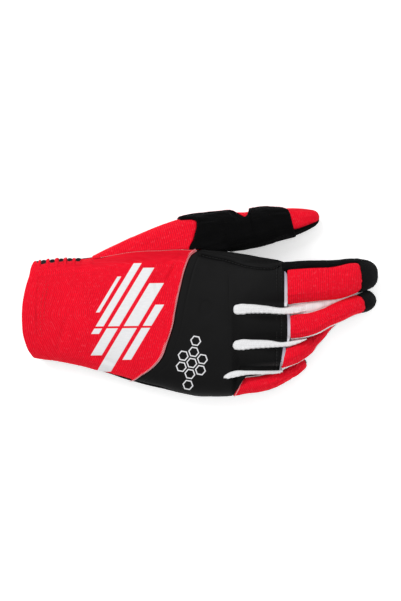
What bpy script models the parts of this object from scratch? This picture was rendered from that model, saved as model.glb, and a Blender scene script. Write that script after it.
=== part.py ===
# Motocross glove for the right hand, lying palm down with the fingers curled.
# X runs from the cuff to the fingertips, Y towards the thumb, Z up from the surface it lies on.
import bmesh
import bpy
import numpy as np

for old in list(bpy.data.objects):
    bpy.data.objects.remove(old)

# Sizes in metres. Every table below holds shares of the knuckle width.
knuckle_width = 0.096
shell_wall = 0.0016
cover_wall = 0.0012
seam_gap = 0.0006
cover_gap = 0.0008
section_power = 2.4
nose_reach = 1.15
nose_power = 2.8
seam_turn = 0.35
root_share = 0.18

crimson = (0.78, 0.01, 0.03, 1.0)
charcoal = (0.02, 0.02, 0.022, 1.0)
suede_black = (0.012, 0.012, 0.012, 1.0)
mesh_white = (0.86, 0.86, 0.88, 1.0)
trim_grey = (0.62, 0.60, 0.68, 1.0)

wall = shell_wall / knuckle_width
half_gap = 0.5 * seam_gap / knuckle_width
cover_low = cover_gap / knuckle_width
cover_high = (cover_gap + cover_wall) / knuckle_width


def table(columns, *rows):
    """A table as one array for each named column."""
    values = np.array(rows, float)
    return {name: values[:, n] for n, name in enumerate(columns.split())}


def smooth(at, knots, values):
    """A cubic curve through the knots, level with its end values outside them."""
    at = np.clip(at, knots[0], knots[-1])
    slope = np.gradient(values, knots)
    n = np.clip(np.searchsorted(knots, at) - 1, 0, len(knots) - 2)
    span = knots[n + 1] - knots[n]
    u = (at - knots[n]) / span
    near = (1 + 2 * u) * (1 - u) ** 2 * values[n] + u * (1 - u) ** 2 * span * slope[n]
    far = u * u * (3 - 2 * u) * values[n + 1] + u * u * (u - 1) * span * slope[n + 1]
    return near + far


# The hand's tube: where its two sides, its crown and its keel lie at each station.
hand = table(
    "x thumb_side little_side crown keel",
    (-1.320, 0.290, -0.412, 0.323, -0.010),
    (-1.050, 0.315, -0.450, 0.333, -0.012),
    (-0.825, 0.326, -0.502, 0.344, -0.014),
    (-0.675, 0.358, -0.540, 0.349, -0.015),
    (-0.525, 0.392, -0.592, 0.354, -0.016),
    (-0.300, 0.420, -0.649, 0.365, -0.016),
    (-0.075, 0.427, -0.701, 0.380, -0.016),
    (0.075, 0.401, -0.712, 0.392, -0.010),
    (0.210, 0.371, -0.712, 0.406, 0.005),
    (0.345, 0.345, -0.698, 0.422, 0.036),
    (0.480, 0.322, -0.668, 0.438, 0.083),
    (0.6225, 0.292, -0.638, 0.443, 0.135),
)
front = 0.6150

# The cloth's edge at the wrist opening, by angle round the tube from the thumb side.
mouth = table(
    "angle x",
    (-60, -1.290),
    (0, -1.232),
    (17, -1.245),
    (36, -1.260),
    (49, -1.268),
    (60, -1.284),
    (75, -1.305),
    (90, -1.320),
    (105, -1.320),
    (120, -1.312),
    (131, -1.298),
    (143, -1.283),
    (162, -1.253),
    (180, -1.240),
    (270, -1.300),
)

# The slanting seam from the thumb's crotch to the little finger's side.
back_seam = table(
    "angle x",
    (20, -0.012),
    (25, -0.022),
    (33, -0.060),
    (50, -0.105),
    (72, -0.150),
    (92, -0.195),
    (106, -0.240),
    (121, -0.285),
    (130, -0.330),
    (138, -0.375),
    (146, -0.420),
    (158, -0.465),
    (176, -0.515),
)

# Angles where the back's panels start on the thumb side and end on the little finger's side,
# and where the palm's panels do, at each station.
edges = table(
    "x back_start back_end palm_start palm_end",
    (-1.320, 20, 178, 181, 374),
    (-0.900, 20, 177, 180, 374),
    (-0.675, 20, 175, 178, 312),
    (-0.525, 22, 174, 177, 312),
    (-0.300, 26, 174, 177, 312),
    (-0.075, 26, 175, 178, 312),
    (0.075, 22, 177, 180, 312),
    (0.210, 14, 177, 180, 318),
    (0.240, 13, 174, 184, 340),
    (0.262, 13, 158, 203, 354),
    (0.280, 12, 150, 211, 361),
    (0.308, 12, 141, 220, 363),
    (0.338, 12, 134, 227, 365),
    (0.480, 12, 135, 227, 365),
    (0.560, 12, 136, 232, 365),
    (0.6225, 12, 136, 240, 365),
)

fingers = {
    "index": table(
        "x y z half_width half_height",
        (0.649, 0.128, 0.292, 0.163, 0.142),
        (0.750, 0.140, 0.318, 0.159, 0.135),
        (0.885, 0.150, 0.323, 0.152, 0.129),
        (1.020, 0.161, 0.297, 0.145, 0.121),
        (1.110, 0.181, 0.255, 0.134, 0.114),
        (1.185, 0.191, 0.203, 0.124, 0.107),
        (1.230, 0.195, 0.135, 0.109, 0.100),
        (1.250, 0.195, 0.068, 0.094, 0.092),
    ),
    "middle": table(
        "x y z half_width half_height",
        (0.671, -0.195, 0.292, 0.096, 0.138),
        (0.750, -0.184, 0.312, 0.094, 0.131),
        (0.840, -0.165, 0.333, 0.086, 0.116),
        (0.930, -0.124, 0.333, 0.077, 0.109),
        (1.020, -0.084, 0.304, 0.078, 0.108),
        (1.110, -0.046, 0.255, 0.073, 0.107),
        (1.185, -0.019, 0.198, 0.068, 0.102),
        (1.222, -0.001, 0.130, 0.066, 0.096),
        (1.244, 0.006, 0.068, 0.064, 0.090),
    ),
    "ring": table(
        "x y z half_width half_height",
        (0.656, -0.412, 0.290, 0.076, 0.120),
        (0.701, -0.392, 0.276, 0.073, 0.116),
        (0.747, -0.366, 0.243, 0.070, 0.106),
        (0.791, -0.334, 0.193, 0.066, 0.098),
        (0.831, -0.292, 0.148, 0.063, 0.092),
        (0.885, -0.233, 0.106, 0.062, 0.088),
        (0.926, -0.182, 0.090, 0.062, 0.086),
        (0.975, -0.130, 0.089, 0.064, 0.086),
        (1.020, -0.090, 0.085, 0.060, 0.083),
    ),
    "little": table(
        "x y z half_width half_height",
        (0.2475, -0.638, 0.205, 0.071, 0.112),
        (0.345, -0.626, 0.210, 0.064, 0.110),
        (0.435, -0.617, 0.210, 0.061, 0.106),
        (0.510, -0.600, 0.195, 0.060, 0.102),
        (0.585, -0.567, 0.164, 0.060, 0.097),
        (0.652, -0.531, 0.124, 0.059, 0.091),
        (0.712, -0.494, 0.098, 0.057, 0.087),
        (0.750, -0.464, 0.088, 0.055, 0.085),
        (0.782, -0.438, 0.084, 0.052, 0.082),
    ),
    "thumb": table(
        "x y z half_width half_height",
        (-0.825, 0.308, 0.135, 0.015, 0.104),
        (-0.555, 0.356, 0.133, 0.094, 0.120),
        (-0.375, 0.386, 0.133, 0.139, 0.134),
        (-0.195, 0.420, 0.135, 0.172, 0.138),
        (-0.015, 0.465, 0.135, 0.174, 0.135),
        (0.105, 0.495, 0.130, 0.156, 0.130),
        (0.210, 0.521, 0.126, 0.141, 0.126),
        (0.345, 0.532, 0.122, 0.130, 0.122),
        (0.480, 0.560, 0.117, 0.128, 0.117),
        (0.615, 0.581, 0.110, 0.108, 0.110),
        (0.705, 0.593, 0.102, 0.101, 0.102),
        (0.795, 0.610, 0.090, 0.080, 0.090),
        (0.855, 0.620, 0.080, 0.060, 0.076),
        (0.890, 0.620, 0.074, 0.050, 0.066),
    ),
}

# Round the thumb: where the red gusset ends at the slanting seams on top and below it.
thumb_edges = table(
    "x top under back_high palm_low",
    (-0.825, 84, -129, 84, 231),
    (-0.555, 86, -129, 86, 231),
    (-0.375, 94, -129, 94, 231),
    (-0.195, 103, -134, 103, 226),
    (-0.140, 107, -140, 106, 222),
    (-0.060, 113, -150, 112, 212),
    (0.020, 120, -160, 118, 196),
    (0.105, 136, -170, 122, 172),
    (0.160, 150, -178, 122, 152),
    (0.210, 176, -180, 122, 126),
    (0.240, 184, -180, 122, 122),
    (0.900, 184, -180, 122, 122),
)
gusset_end = table(
    "angle x",
    (-180, -0.140),
    (-5, -0.140),
    (20, -0.055),
    (50, -0.015),
    (80, -0.030),
    (130, -0.055),
)

# White stretch gussets lying in the valleys of the back: middle line, half width and height.
gussets = {
    "gusset_index_middle": table(
        "x y half_width",
        (0.210, -0.060, 0.006),
        (0.225, -0.060, 0.024),
        (0.255, -0.060, 0.036),
        (0.345, -0.058, 0.036),
        (0.480, -0.062, 0.029),
        (0.615, -0.074, 0.024),
        (0.690, -0.068, 0.025),
        (0.780, -0.054, 0.022),
        (0.860, -0.036, 0.015),
        (0.930, -0.018, 0.005),
    ),
    "gusset_middle_ring": table(
        "x y half_width",
        (0.228, -0.350, 0.005),
        (0.245, -0.340, 0.020),
        (0.290, -0.325, 0.032),
        (0.390, -0.318, 0.033),
        (0.510, -0.318, 0.028),
        (0.610, -0.322, 0.018),
        (0.670, -0.315, 0.018),
        (0.740, -0.297, 0.012),
        (0.790, -0.280, 0.004),
    ),
    "gusset_ring_little": table(
        "x y half_width",
        (0.172, -0.565, 0.005),
        (0.200, -0.556, 0.018),
        (0.255, -0.541, 0.024),
        (0.345, -0.531, 0.016),
        (0.480, -0.529, 0.014),
        (0.570, -0.526, 0.012),
        (0.612, -0.519, 0.007),
    ),
}
valley_height = 0.385
side_height = 0.312


def rounding(angle):
    """How far across and how far up a rounded box a turn of this many degrees lies."""
    turn = np.radians(angle)
    power = 2 / section_power
    across = np.sign(np.cos(turn)) * np.abs(np.cos(turn)) ** power
    up = np.sign(np.sin(turn)) * np.abs(np.sin(turn)) ** power
    return across, up


def knuckles(y):
    """The tops of the finger roots, with the valleys between them filled to one height."""
    top = np.full(np.shape(y), side_height)
    inner = (y < fingers["index"]["y"][0]) & (y > fingers["ring"]["y"][0])
    top = np.where(inner, valley_height, top)
    for name in ("index", "middle", "ring"):
        root = {key: column[0] for key, column in fingers[name].items()}
        out = np.abs((y - root["y"]) / root["half_width"])
        rise = np.clip(1 - out**section_power, 0, 1) ** (1 / section_power)
        top = np.where(out < 1, np.maximum(root["z"] + root["half_height"] * rise, top), top)
    edge = y > fingers["index"]["y"][0] + fingers["index"]["half_width"][0]
    return np.where(edge, fingers["index"]["z"][0], top)


def hand_point(x, angle, depth):
    """A point on the hand's tube, so many shares below its outer face."""
    thumb_side = smooth(x, hand["x"], hand["thumb_side"])
    little_side = smooth(x, hand["x"], hand["little_side"])
    crown = smooth(x, hand["x"], hand["crown"])
    keel = smooth(x, hand["x"], hand["keel"])
    across, up = rounding(angle)
    y = 0.5 * (thumb_side + little_side) + (0.5 * (thumb_side - little_side) - depth) * across
    z = 0.5 * (crown + keel) + (0.5 * (crown - keel) - depth) * up
    blend = np.clip((x - 0.24) / (front - 0.24), 0, 1)
    blend = blend * blend * (3 - 2 * blend) * np.clip(4 * up, 0, 1)
    z = z + blend * (knuckles(y) - depth - z)
    return np.stack([x, y, np.maximum(z, np.maximum(depth, 0))], axis=-1)


def back_height(x, y):
    """The height of the hand's back above a point of the surface it lies on."""
    thumb_side = smooth(x, hand["x"], hand["thumb_side"])
    little_side = smooth(x, hand["x"], hand["little_side"])
    out = (y - 0.5 * (thumb_side + little_side)) / (0.5 * (thumb_side - little_side))
    across = np.sign(out) * np.abs(out) ** (section_power / 2)
    return hand_point(x, np.degrees(np.arccos(np.clip(across, -1, 1))), 0)[..., 2]


def finger_length(name):
    rows = np.stack([fingers[name][key] for key in "xyz"], axis=-1)
    return np.concatenate([[0], np.cumsum(np.linalg.norm(np.diff(rows, axis=0), axis=1))])


def finger_middle(name, way):
    """The finger's middle line at a share of its length, and the columns of its sections there."""
    knots = finger_length(name) / finger_length(name)[-1]
    keys = ("x", "y", "z", "half_width", "half_height")
    x, y, z, width, height = (smooth(way, knots, fingers[name][key]) for key in keys)
    return np.stack([x, y, z], axis=-1), width, height


def nose_start(name):
    return 1 - nose_reach * fingers[name]["half_width"][-1] / finger_length(name)[-1]


def finger_point(name, way, angle, depth, lift, facing=90.0):
    """A point on a finger's tube with a rounded nose; lift moves it towards the facing angle."""
    length = finger_length(name)[-1]
    inner_way = way * (1 - max(depth, 0) / length)
    middle, width, height = finger_middle(name, inner_way)
    ahead = finger_middle(name, np.minimum(inner_way + 0.01, 1))[0]
    behind = finger_middle(name, np.maximum(np.minimum(inner_way + 0.01, 1) - 0.02, 0))[0]
    along = (ahead - behind) / np.linalg.norm(ahead - behind, axis=-1, keepdims=True)
    if name != "thumb":
        square = 8 * np.clip(1 - way / root_share, 0, 1)[..., None]
        along = along + square * np.array([1.0, 0.0, 0.0])
        along /= np.linalg.norm(along, axis=-1, keepdims=True)
    side = np.cross([0.0, 0.0, 1.0], along)
    side /= np.linalg.norm(side, axis=-1, keepdims=True)
    up_line = np.cross(along, side)
    begin = nose_start(name)
    past = np.clip(way - begin, 0, 1) / (1 - begin)
    nose = np.clip(1 - past**nose_power, 0, 1) ** (1 / nose_power)
    across, up = rounding(angle)
    out = ((width - depth) * nose * across)[..., None] * side
    rise = ((height - depth) * nose * up)[..., None] * up_line
    turn = np.radians(facing)
    point = middle + out + rise + lift * (np.cos(turn) * side + np.sin(turn) * up_line)
    point[..., 2] = np.maximum(point[..., 2], max(depth, 0))
    return point


def material(name, colour, rough):
    found = bpy.data.materials.get(name)
    if found is None:
        found = bpy.data.materials.new(name)
        found.use_nodes = True
        shader = found.node_tree.nodes["Principled BSDF"]
        shader.inputs["Base Color"].default_value = colour
        shader.inputs["Roughness"].default_value = rough
        found.diffuse_color = colour
    return found


def shell(name, outer, inner, slot):
    """One closed body between an outer and an inner grid of points."""
    rows, columns = outer.shape[:2]
    mesh = bmesh.new()
    grids = []
    for grid in (outer, inner):
        points = (grid * knuckle_width).reshape(-1, 3)
        grids.append(np.array([mesh.verts.new(p) for p in points]).reshape(rows, columns))
    top, low = grids
    for i in range(rows - 1):
        for j in range(columns - 1):
            mesh.faces.new((top[i, j], top[i + 1, j], top[i + 1, j + 1], top[i, j + 1]))
            mesh.faces.new((low[i, j], low[i, j + 1], low[i + 1, j + 1], low[i + 1, j]))
    for i in range(rows - 1):
        for j in (0, columns - 1):
            mesh.faces.new((top[i, j], low[i, j], low[i + 1, j], top[i + 1, j]))
    for j in range(columns - 1):
        for i in (0, rows - 1):
            mesh.faces.new((top[i, j], top[i, j + 1], low[i, j + 1], low[i, j]))
    bmesh.ops.remove_doubles(mesh, verts=mesh.verts, dist=2e-6)
    bmesh.ops.dissolve_degenerate(mesh, edges=mesh.edges, dist=1e-6)
    bmesh.ops.triangulate(mesh, faces=mesh.faces)
    bmesh.ops.recalc_face_normals(mesh, faces=mesh.faces)
    if mesh.calc_volume(signed=True) < 0:
        bmesh.ops.reverse_faces(mesh, faces=mesh.faces)
    data = bpy.data.meshes.new(name)
    mesh.to_mesh(data)
    mesh.free()
    data.materials.append(slot)
    data.shade_smooth()
    part = bpy.data.objects.new(name, data)
    bpy.context.scene.collection.objects.link(part)
    return part


def hand_panel(name, slot, start, end, low, high, steps):
    """A panel of the hand's tube: its ends are given by angle, its low and high edges by station."""
    along, round_it = np.meshgrid(
        np.linspace(0, 1, steps[0] + 1), np.linspace(0, 1, steps[1] + 1), indexing="ij"
    )
    angle = low(0.0) + (high(0.0) - low(0.0)) * round_it
    for _ in range(12):
        first = start(angle)
        last = end(angle)
        x = first + (last - first) * along
        angle = low(x) + (high(x) - low(x)) * round_it
    shell(name, hand_point(x, angle, 0), hand_point(x, angle, wall), slot)


def edge_column(name, shift):
    return lambda x: np.interp(x, edges["x"], edges[name]) + shift


red = material("crimson_knit", crimson, 0.85)
black = material("charcoal_panel", charcoal, 0.75)
suede = material("black_suede", suede_black, 0.95)
white = material("white_mesh", mesh_white, 0.8)
trim = material("grey_trim", trim_grey, 0.6)


def seam_at(shift):
    return lambda angle: smooth(angle, back_seam["angle"], back_seam["x"]) + shift


def mouth_at(angle):
    return smooth(angle, mouth["angle"], mouth["x"])


def station(x):
    return lambda angle: np.full(np.shape(angle), x)


cuff_join = -0.790

hand_panel(
    "cuff_back", red, mouth_at, seam_at(-half_gap),
    edge_column("back_start", seam_turn), edge_column("back_end", -seam_turn), (14, 14),
)
hand_panel(
    "hand_back", black, seam_at(half_gap), station(front),
    edge_column("back_start", seam_turn), edge_column("back_end", -seam_turn), (22, 20),
)
hand_panel(
    "cuff_palm", black, mouth_at, station(cuff_join - half_gap),
    edge_column("palm_start", seam_turn), lambda x: edge_column("palm_end", 0)(x * 0 - 1.2), (6, 14),
)
hand_panel(
    "palm", suede, station(cuff_join + half_gap), station(front),
    edge_column("palm_start", seam_turn),
    lambda x: np.where(x < -0.6, 312.0, edge_column("palm_end", 0)(x)), (18, 12),
)


def finger_panel(name, slot, finger, ways, low, high, lift, steps):
    """A panel of a finger's tube between two shares of its length and two edges by share."""
    shares = np.linspace(0, 1, steps[0] + 1)
    if ways[1] == 1:
        shares = np.sin(0.5 * np.pi * shares)
    shares, round_it = np.meshgrid(shares, np.linspace(0, 1, steps[1] + 1), indexing="ij")
    way = ways[0] + (ways[1] - ways[0]) * shares
    angle = low(way) + (high(way) - low(way)) * round_it
    if finger == "little" and ways[0] == 0:
        begin = root_slant * 0.5 * (1 + np.cos(np.radians(angle)))
        way = begin + (ways[1] - begin) * shares
    facing = 90 + finger_plan[finger]["roll"]
    outer = finger_point(finger, way, angle, 0.0, lift, facing)
    inner = finger_point(finger, way, angle, wall, lift, facing)
    shell(name, outer, inner, slot)


# Each finger: the share of its length where the cap starts, its side strips, and the turn of its two seams.
finger_plan = {
    "index": {"cap": 0.76, "thumb_strip": False, "little_strip": True, "roll": 40.0},
    "middle": {"cap": 0.80, "thumb_strip": True, "little_strip": True, "roll": 0.0},
    "ring": {"cap": 0.88, "thumb_strip": True, "little_strip": True, "roll": 0.0},
    "little": {"cap": 0.92, "thumb_strip": True, "little_strip": False, "roll": 0.0},
}
strip_turn = 26.0
root_slant = 0.14
strip_end = 0.90

for finger, plan in finger_plan.items():
    cap = plan["cap"]
    gap_way = half_gap / finger_length(finger)[-1]
    turn = plan["roll"]
    lift = half_gap

    def strip_width(way, turned):
        """How many degrees the side strip takes at this share; it closes before the nose."""
        left = np.clip((strip_end - way) / 0.12, 0, 1)
        return strip_turn * np.sqrt(left) * (1 - 0.45 * way) + turned * 0

    def low_edge(way, plan=plan, turn=turn):
        width = strip_width(way, 0) if plan["thumb_strip"] else 0 * way
        return turn + width + (5.5 if plan["thumb_strip"] else 0)

    def high_edge(way, plan=plan):
        width = strip_width(way, 0) if plan["little_strip"] else 0 * way
        return 180 + plan["roll"] - width - (3.0 if plan["little_strip"] else 0)

    finger_panel(
        finger + "_back", red, finger, (0.0, cap - gap_way), low_edge, high_edge, lift, (9, 7)
    )
    finger_panel(
        finger + "_tip", suede, finger, (cap + gap_way, 1.0), low_edge, high_edge, lift, (4, 7)
    )
    finger_panel(
        finger + "_palm", suede, finger, (0.0, 1.0),
        lambda way, turn=turn: 0 * way + 180 + turn,
        lambda way, turn=turn: 0 * way + 360 + turn, -lift, (12, 7),
    )
    if plan["thumb_strip"]:
        finger_panel(
            finger + "_fourchette_thumb_side", white, finger, (0.0, strip_end - 0.005),
            lambda way: 0 * way + 2.5, lambda way: 2.5 + strip_width(way, 0), lift, (10, 2),
        )
    if plan["little_strip"]:
        finger_panel(
            finger + "_fourchette_little_side", white, finger, (0.0, strip_end - 0.005),
            lambda way, turn=turn: 180 + turn - strip_width(way, 0),
            lambda way, turn=turn: 0 * way + 180 + turn, lift, (10, 2),
        )


def thumb_panel(name, slot, start, end, low, high, steps, depths=(0.0, wall), lift=0.0):
    """A panel of the thumb's tube with its ends by angle and its edges by station."""
    along, round_it = np.meshgrid(
        np.linspace(0, 1, steps[0] + 1), np.linspace(0, 1, steps[1] + 1), indexing="ij"
    )
    knots = finger_length("thumb") / finger_length("thumb")[-1]
    angle = low(0 * round_it) + (high(0 * round_it) - low(0 * round_it)) * round_it
    for _ in range(12):
        x = start(angle) + (end(angle) - start(angle)) * along
        angle = low(x) + (high(x) - low(x)) * round_it
    way = np.interp(x, fingers["thumb"]["x"], knots)
    outer = finger_point("thumb", way, angle, depths[0], lift, thumb_facing)
    inner = finger_point("thumb", way, angle, depths[1], lift, thumb_facing)
    shell(name, outer, inner, slot)


def thumb_edge(name, shift):
    return lambda x: np.interp(x, thumb_edges["x"], thumb_edges[name]) + shift


def gusset_at(shift):
    return lambda angle: smooth(angle, gusset_end["angle"], gusset_end["x"]) + shift


thumb_cut = 122.0
thumb_facing = thumb_cut - 90
tip = fingers["thumb"]["x"][-1]


def share_panel(name, slot, start, end, low, high, steps, depths, lift):
    """A panel of the thumb's tube that may run into the closed nose."""
    shares = np.linspace(0, 1, steps[0] + 1)
    shares = np.sin(0.5 * np.pi * shares)
    shares, round_it = np.meshgrid(shares, np.linspace(0, 1, steps[1] + 1), indexing="ij")
    angle = low(0 * shares) + (high(0 * shares) - low(0 * shares)) * round_it
    for _ in range(12):
        x = start(angle) + (end(angle) - start(angle)) * shares
        angle = low(x) + (high(x) - low(x)) * round_it
    knots = finger_length("thumb") / finger_length("thumb")[-1]
    way = np.interp(x, fingers["thumb"]["x"], knots)
    outer = finger_point("thumb", way, angle, depths[0], lift, thumb_facing)
    inner = finger_point("thumb", way, angle, depths[1], lift, thumb_facing)
    shell(name, outer, inner, slot)


thumb_panel(
    "thumb_gusset", red, station(cuff_join + 0.02), gusset_at(-2 * half_gap),
    thumb_edge("under", 3), thumb_edge("top", -3), (9, 10),
)
share_panel(
    "thumb_back", red, gusset_at(half_gap), station(tip),
    lambda x: 0 * x + thumb_cut - 180, thumb_edge("back_high", 0), (13, 10), (0.0, wall), half_gap,
)

# Where the thumb's palm begins, by angle: further on at its inner side than below it.
palm_begin = table(
    "angle x",
    (120, 0.010),
    (195, 0.000),
    (228, -0.050),
    (245, -0.135),
    (304, -0.135),
)
share_panel(
    "thumb_palm", suede,
    lambda angle: np.interp(angle, palm_begin["angle"], palm_begin["x"]), station(tip),
    thumb_edge("palm_low", 0), lambda x: 0 * x + thumb_cut + 180, (12, 9), (0.0, wall), -half_gap,
)

# The suede cover over the thumb's crown: its edges by station and its far end by angle.
cover_edges = table(
    "x low",
    (-0.100, -14),
    (0.200, -12),
    (0.240, 34),
    (0.345, 38),
    (0.385, -6),
    (0.720, -10),
)
cover_end = table(
    "angle x",
    (-20, 0.615),
    (0, 0.622),
    (40, 0.660),
    (90, 0.675),
    (184, 0.705),
)
cover_ease = 0.0012 / knuckle_width
thumb_panel(
    "thumb_cover", suede, gusset_at(0.004),
    lambda angle: smooth(angle, cover_end["angle"], cover_end["x"]),
    lambda x: np.interp(x, cover_edges["x"], cover_edges["low"]), thumb_edge("top", -3),
    (22, 12), (-cover_high - cover_ease, -cover_low - cover_ease), half_gap,
)

# Narrow trims across the finger roots, between the angles of each finger.
trims = {"index": (32, 75), "middle": (85, 102), "ring": (106, 134)}
for finger, (first, last) in trims.items():
    hand_panel(
        finger + "_knuckle_trim", trim, station(0.6205), station(0.6440),
        lambda x, first=first: 0 * x + first, lambda x, last=last: 0 * x + last, (1, 6),
    )

# The rolled seam along the back's edge at the index finger's side.
roll_edge = table(
    "x angle",
    (-0.010, 31),
    (0.075, 32),
    (0.188, 32),
    (0.338, 36),
    (0.465, 36),
    (0.560, 28),
    (0.605, 29),
)
roll_height = 0.0018 / knuckle_width
along, across_it = np.meshgrid(np.linspace(0, 1, 15), np.linspace(0, 1, 5), indexing="ij")
roll_x = roll_edge["x"][0] + (roll_edge["x"][-1] - roll_edge["x"][0]) * along
roll_low = np.interp(roll_x, edges["x"], edges["back_start"]) + 13.0
roll_high = smooth(roll_x, roll_edge["x"], roll_edge["angle"])
roll_turn = roll_low + (roll_high - roll_low) * across_it
puff = 2.0 * cover_low + roll_height * (0.45 + 0.55 * np.sin(np.pi * across_it))
shell(
    "back_roll", hand_point(roll_x, roll_turn, -puff), hand_point(roll_x, roll_turn, -2.0 * cover_low), black
)

# The stretch gussets: strips laid on the back that run on between the fingers.
gusset_fall = 0.55
gusset_puff = 0.6
for name, rows in gussets.items():
    along, across_it = np.meshgrid(np.linspace(0, 1, 17), np.linspace(-1, 1, 5), indexing="ij")
    x = rows["x"][0] + (rows["x"][-1] - rows["x"][0]) * along
    middle = smooth(x, rows["x"], rows["y"])
    half = smooth(x, rows["x"], rows["half_width"])
    y = middle + half * across_it
    past = np.clip(x - front, 0, 1)
    on_back = np.minimum(x, front)
    ridge = np.maximum(back_height(on_back, middle + half), back_height(on_back, middle - half))
    low = np.maximum(ridge, back_height(on_back, y)) - gusset_fall * past**2 + cover_low
    thick = cover_high - cover_low
    high = low + thick * (1 + gusset_puff * (1 - across_it**2))
    shell(name, np.stack([x, y, high], axis=-1), np.stack([x, y, low], axis=-1), white)

# The upright gusset between the ring finger's root and the little finger.
along, down = np.meshgrid(np.linspace(0, 1, 9), np.linspace(0.12, 0.90, 5), indexing="ij")
x = 0.345 + (front - 0.345) * along
upper = hand_point(x, np.interp(x, edges["x"], edges["back_end"]), 0)
lower = hand_point(x, np.interp(x, edges["x"], edges["palm_start"]), 0)
face = upper + (lower - upper) * down[..., None]
shell("ring_side_gusset", face, face + np.array([0.0, cover_high - cover_low, 0.0]), white)

# The origin is the middle of the base: every solid moves by the same step.
parts = list(bpy.context.scene.collection.objects)
corners = np.array([vertex.co for part in parts for vertex in part.data.vertices])
lowest = corners.min(axis=0)
highest = corners.max(axis=0)
step = -0.5 * (lowest + highest)
step[2] = -lowest[2]
for part in parts:
    for vertex in part.data.vertices:
        vertex.co = np.array(vertex.co) + step
    part.data.update()
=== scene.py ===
"""Looks of a right-hand motocross glove: knit, suede and mesh panels, seams, gathers and stitches."""

import bmesh
import bpy
import numpy as np
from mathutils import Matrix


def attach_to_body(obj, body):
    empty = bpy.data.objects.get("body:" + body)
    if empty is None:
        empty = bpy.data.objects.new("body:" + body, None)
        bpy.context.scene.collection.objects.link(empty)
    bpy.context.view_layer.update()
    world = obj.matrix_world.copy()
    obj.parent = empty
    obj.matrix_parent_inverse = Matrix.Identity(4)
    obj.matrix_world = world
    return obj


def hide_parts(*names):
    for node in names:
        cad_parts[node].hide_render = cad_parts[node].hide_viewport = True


bl_info = {
    "name": "Motocross glove",
    "version": (1, 0, 0),
    "blender": (4, 5, 0),
    "location": "3D View > Sidebar > Glove",
    "description": "Builds the cloth, suede, seams and stitches of a motocross glove",
    "category": "Object",
}

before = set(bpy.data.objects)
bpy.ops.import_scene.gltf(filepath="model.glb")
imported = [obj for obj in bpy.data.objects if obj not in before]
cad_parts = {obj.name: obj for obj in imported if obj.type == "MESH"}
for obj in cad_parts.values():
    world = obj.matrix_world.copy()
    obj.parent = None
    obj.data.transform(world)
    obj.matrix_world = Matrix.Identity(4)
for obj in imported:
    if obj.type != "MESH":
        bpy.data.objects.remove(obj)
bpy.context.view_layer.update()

# Named sizes that every table below is a share of

KNUCKLES = 0.096
ORIGIN = np.array([-0.00038, -0.00049, 0.0])
POWER = 2.4
FRONT = 0.6150
CUFF_JOIN = -0.790
VALLEY = 0.385
SIDE_FLOOR = 0.312
NOSE_REACH = 1.15
NOSE_POWER = {"index": 3.8, "middle": 3.8, "ring": 2.8, "little": 2.8, "thumb": 2.4}
GATHER_STEP = 0.0645
ROOT_SHARE = 0.18
MM = 0.001 / KNUCKLES
GATHER_TURN = 24.0
GATHER_FADE = 28.0
FOLD_SINK = 1.6
FOLD_RISE = 0.6
THREAD_SIDES = 6
WELD = 2e-6


def table(columns, *rows):
    """A table as one array for each named column."""
    values = np.array(rows, float)
    return {name: values[:, n] for n, name in enumerate(columns.split())}


HAND = table(
    "x thumb_side little_side crown keel",
    (-1.320, 0.290, -0.412, 0.323, -0.010),
    (-1.050, 0.315, -0.450, 0.333, -0.012),
    (-0.825, 0.326, -0.502, 0.344, -0.014),
    (-0.675, 0.358, -0.540, 0.349, -0.015),
    (-0.525, 0.392, -0.592, 0.354, -0.016),
    (-0.300, 0.420, -0.649, 0.365, -0.016),
    (-0.075, 0.427, -0.701, 0.380, -0.016),
    (0.075, 0.401, -0.712, 0.392, -0.010),
    (0.210, 0.371, -0.712, 0.406, 0.005),
    (0.345, 0.345, -0.698, 0.422, 0.036),
    (0.480, 0.322, -0.668, 0.438, 0.083),
    (0.6225, 0.292, -0.638, 0.443, 0.135),
)

MOUTH = table(
    "angle x",
    (-60, -1.290), (0, -1.232), (17, -1.245), (36, -1.260), (49, -1.268), (60, -1.284), (75, -1.305),
    (90, -1.320), (105, -1.320), (120, -1.312), (131, -1.298), (143, -1.283), (162, -1.253), (180, -1.240),
    (270, -1.300), (360, -1.232), (385, -1.252),
)

BACK_SEAM = table(
    "angle x",
    (20, -0.012), (25, -0.022), (33, -0.060), (50, -0.105), (72, -0.150), (92, -0.195), (106, -0.240),
    (121, -0.285), (130, -0.330), (138, -0.375), (146, -0.420), (158, -0.465), (168, -0.492), (178, -0.515),
)

EDGES = table(
    "x back_start back_end palm_start palm_end",
    (-1.320, 20, 178, 178, 388),
    (-1.250, 6, 178, 178, 388),
    (-1.225, 6, 178, 178, 388),
    (-1.205, 26, 178, 178, 388),
    (-1.100, 24, 178, 178, 388),
    (-0.905, 19, 177, 177, 388),
    (-0.825, 17, 176, 176, 360),
    (-0.790, 18, 176, 176, 340),
    (-0.750, 19, 175, 175, 324),
    (-0.675, 20, 175, 175, 314),
    (-0.600, 21, 169, 169, 314),
    (-0.525, 22, 167, 167, 314),
    (-0.300, 26, 167, 167, 314),
    (-0.240, 26, 172, 172, 314),
    (-0.160, 26, 173, 173, 318),
    (-0.075, 26, 175, 175, 340),
    (0.075, 22, 177, 177, 350),
    (0.210, 14, 177, 177, 350),
    (0.240, 13, 174, 184, 342),
    (0.262, 13, 158, 203, 356),
    (0.280, 12, 150, 211, 366),
    (0.308, 12, 141, 220, 370),
    (0.338, 12, 134, 227, 371),
    (0.480, 12, 135, 227, 371),
    (0.560, 12, 136, 232, 371),
    (0.6225, 12, 136, 240, 371),
)

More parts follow.
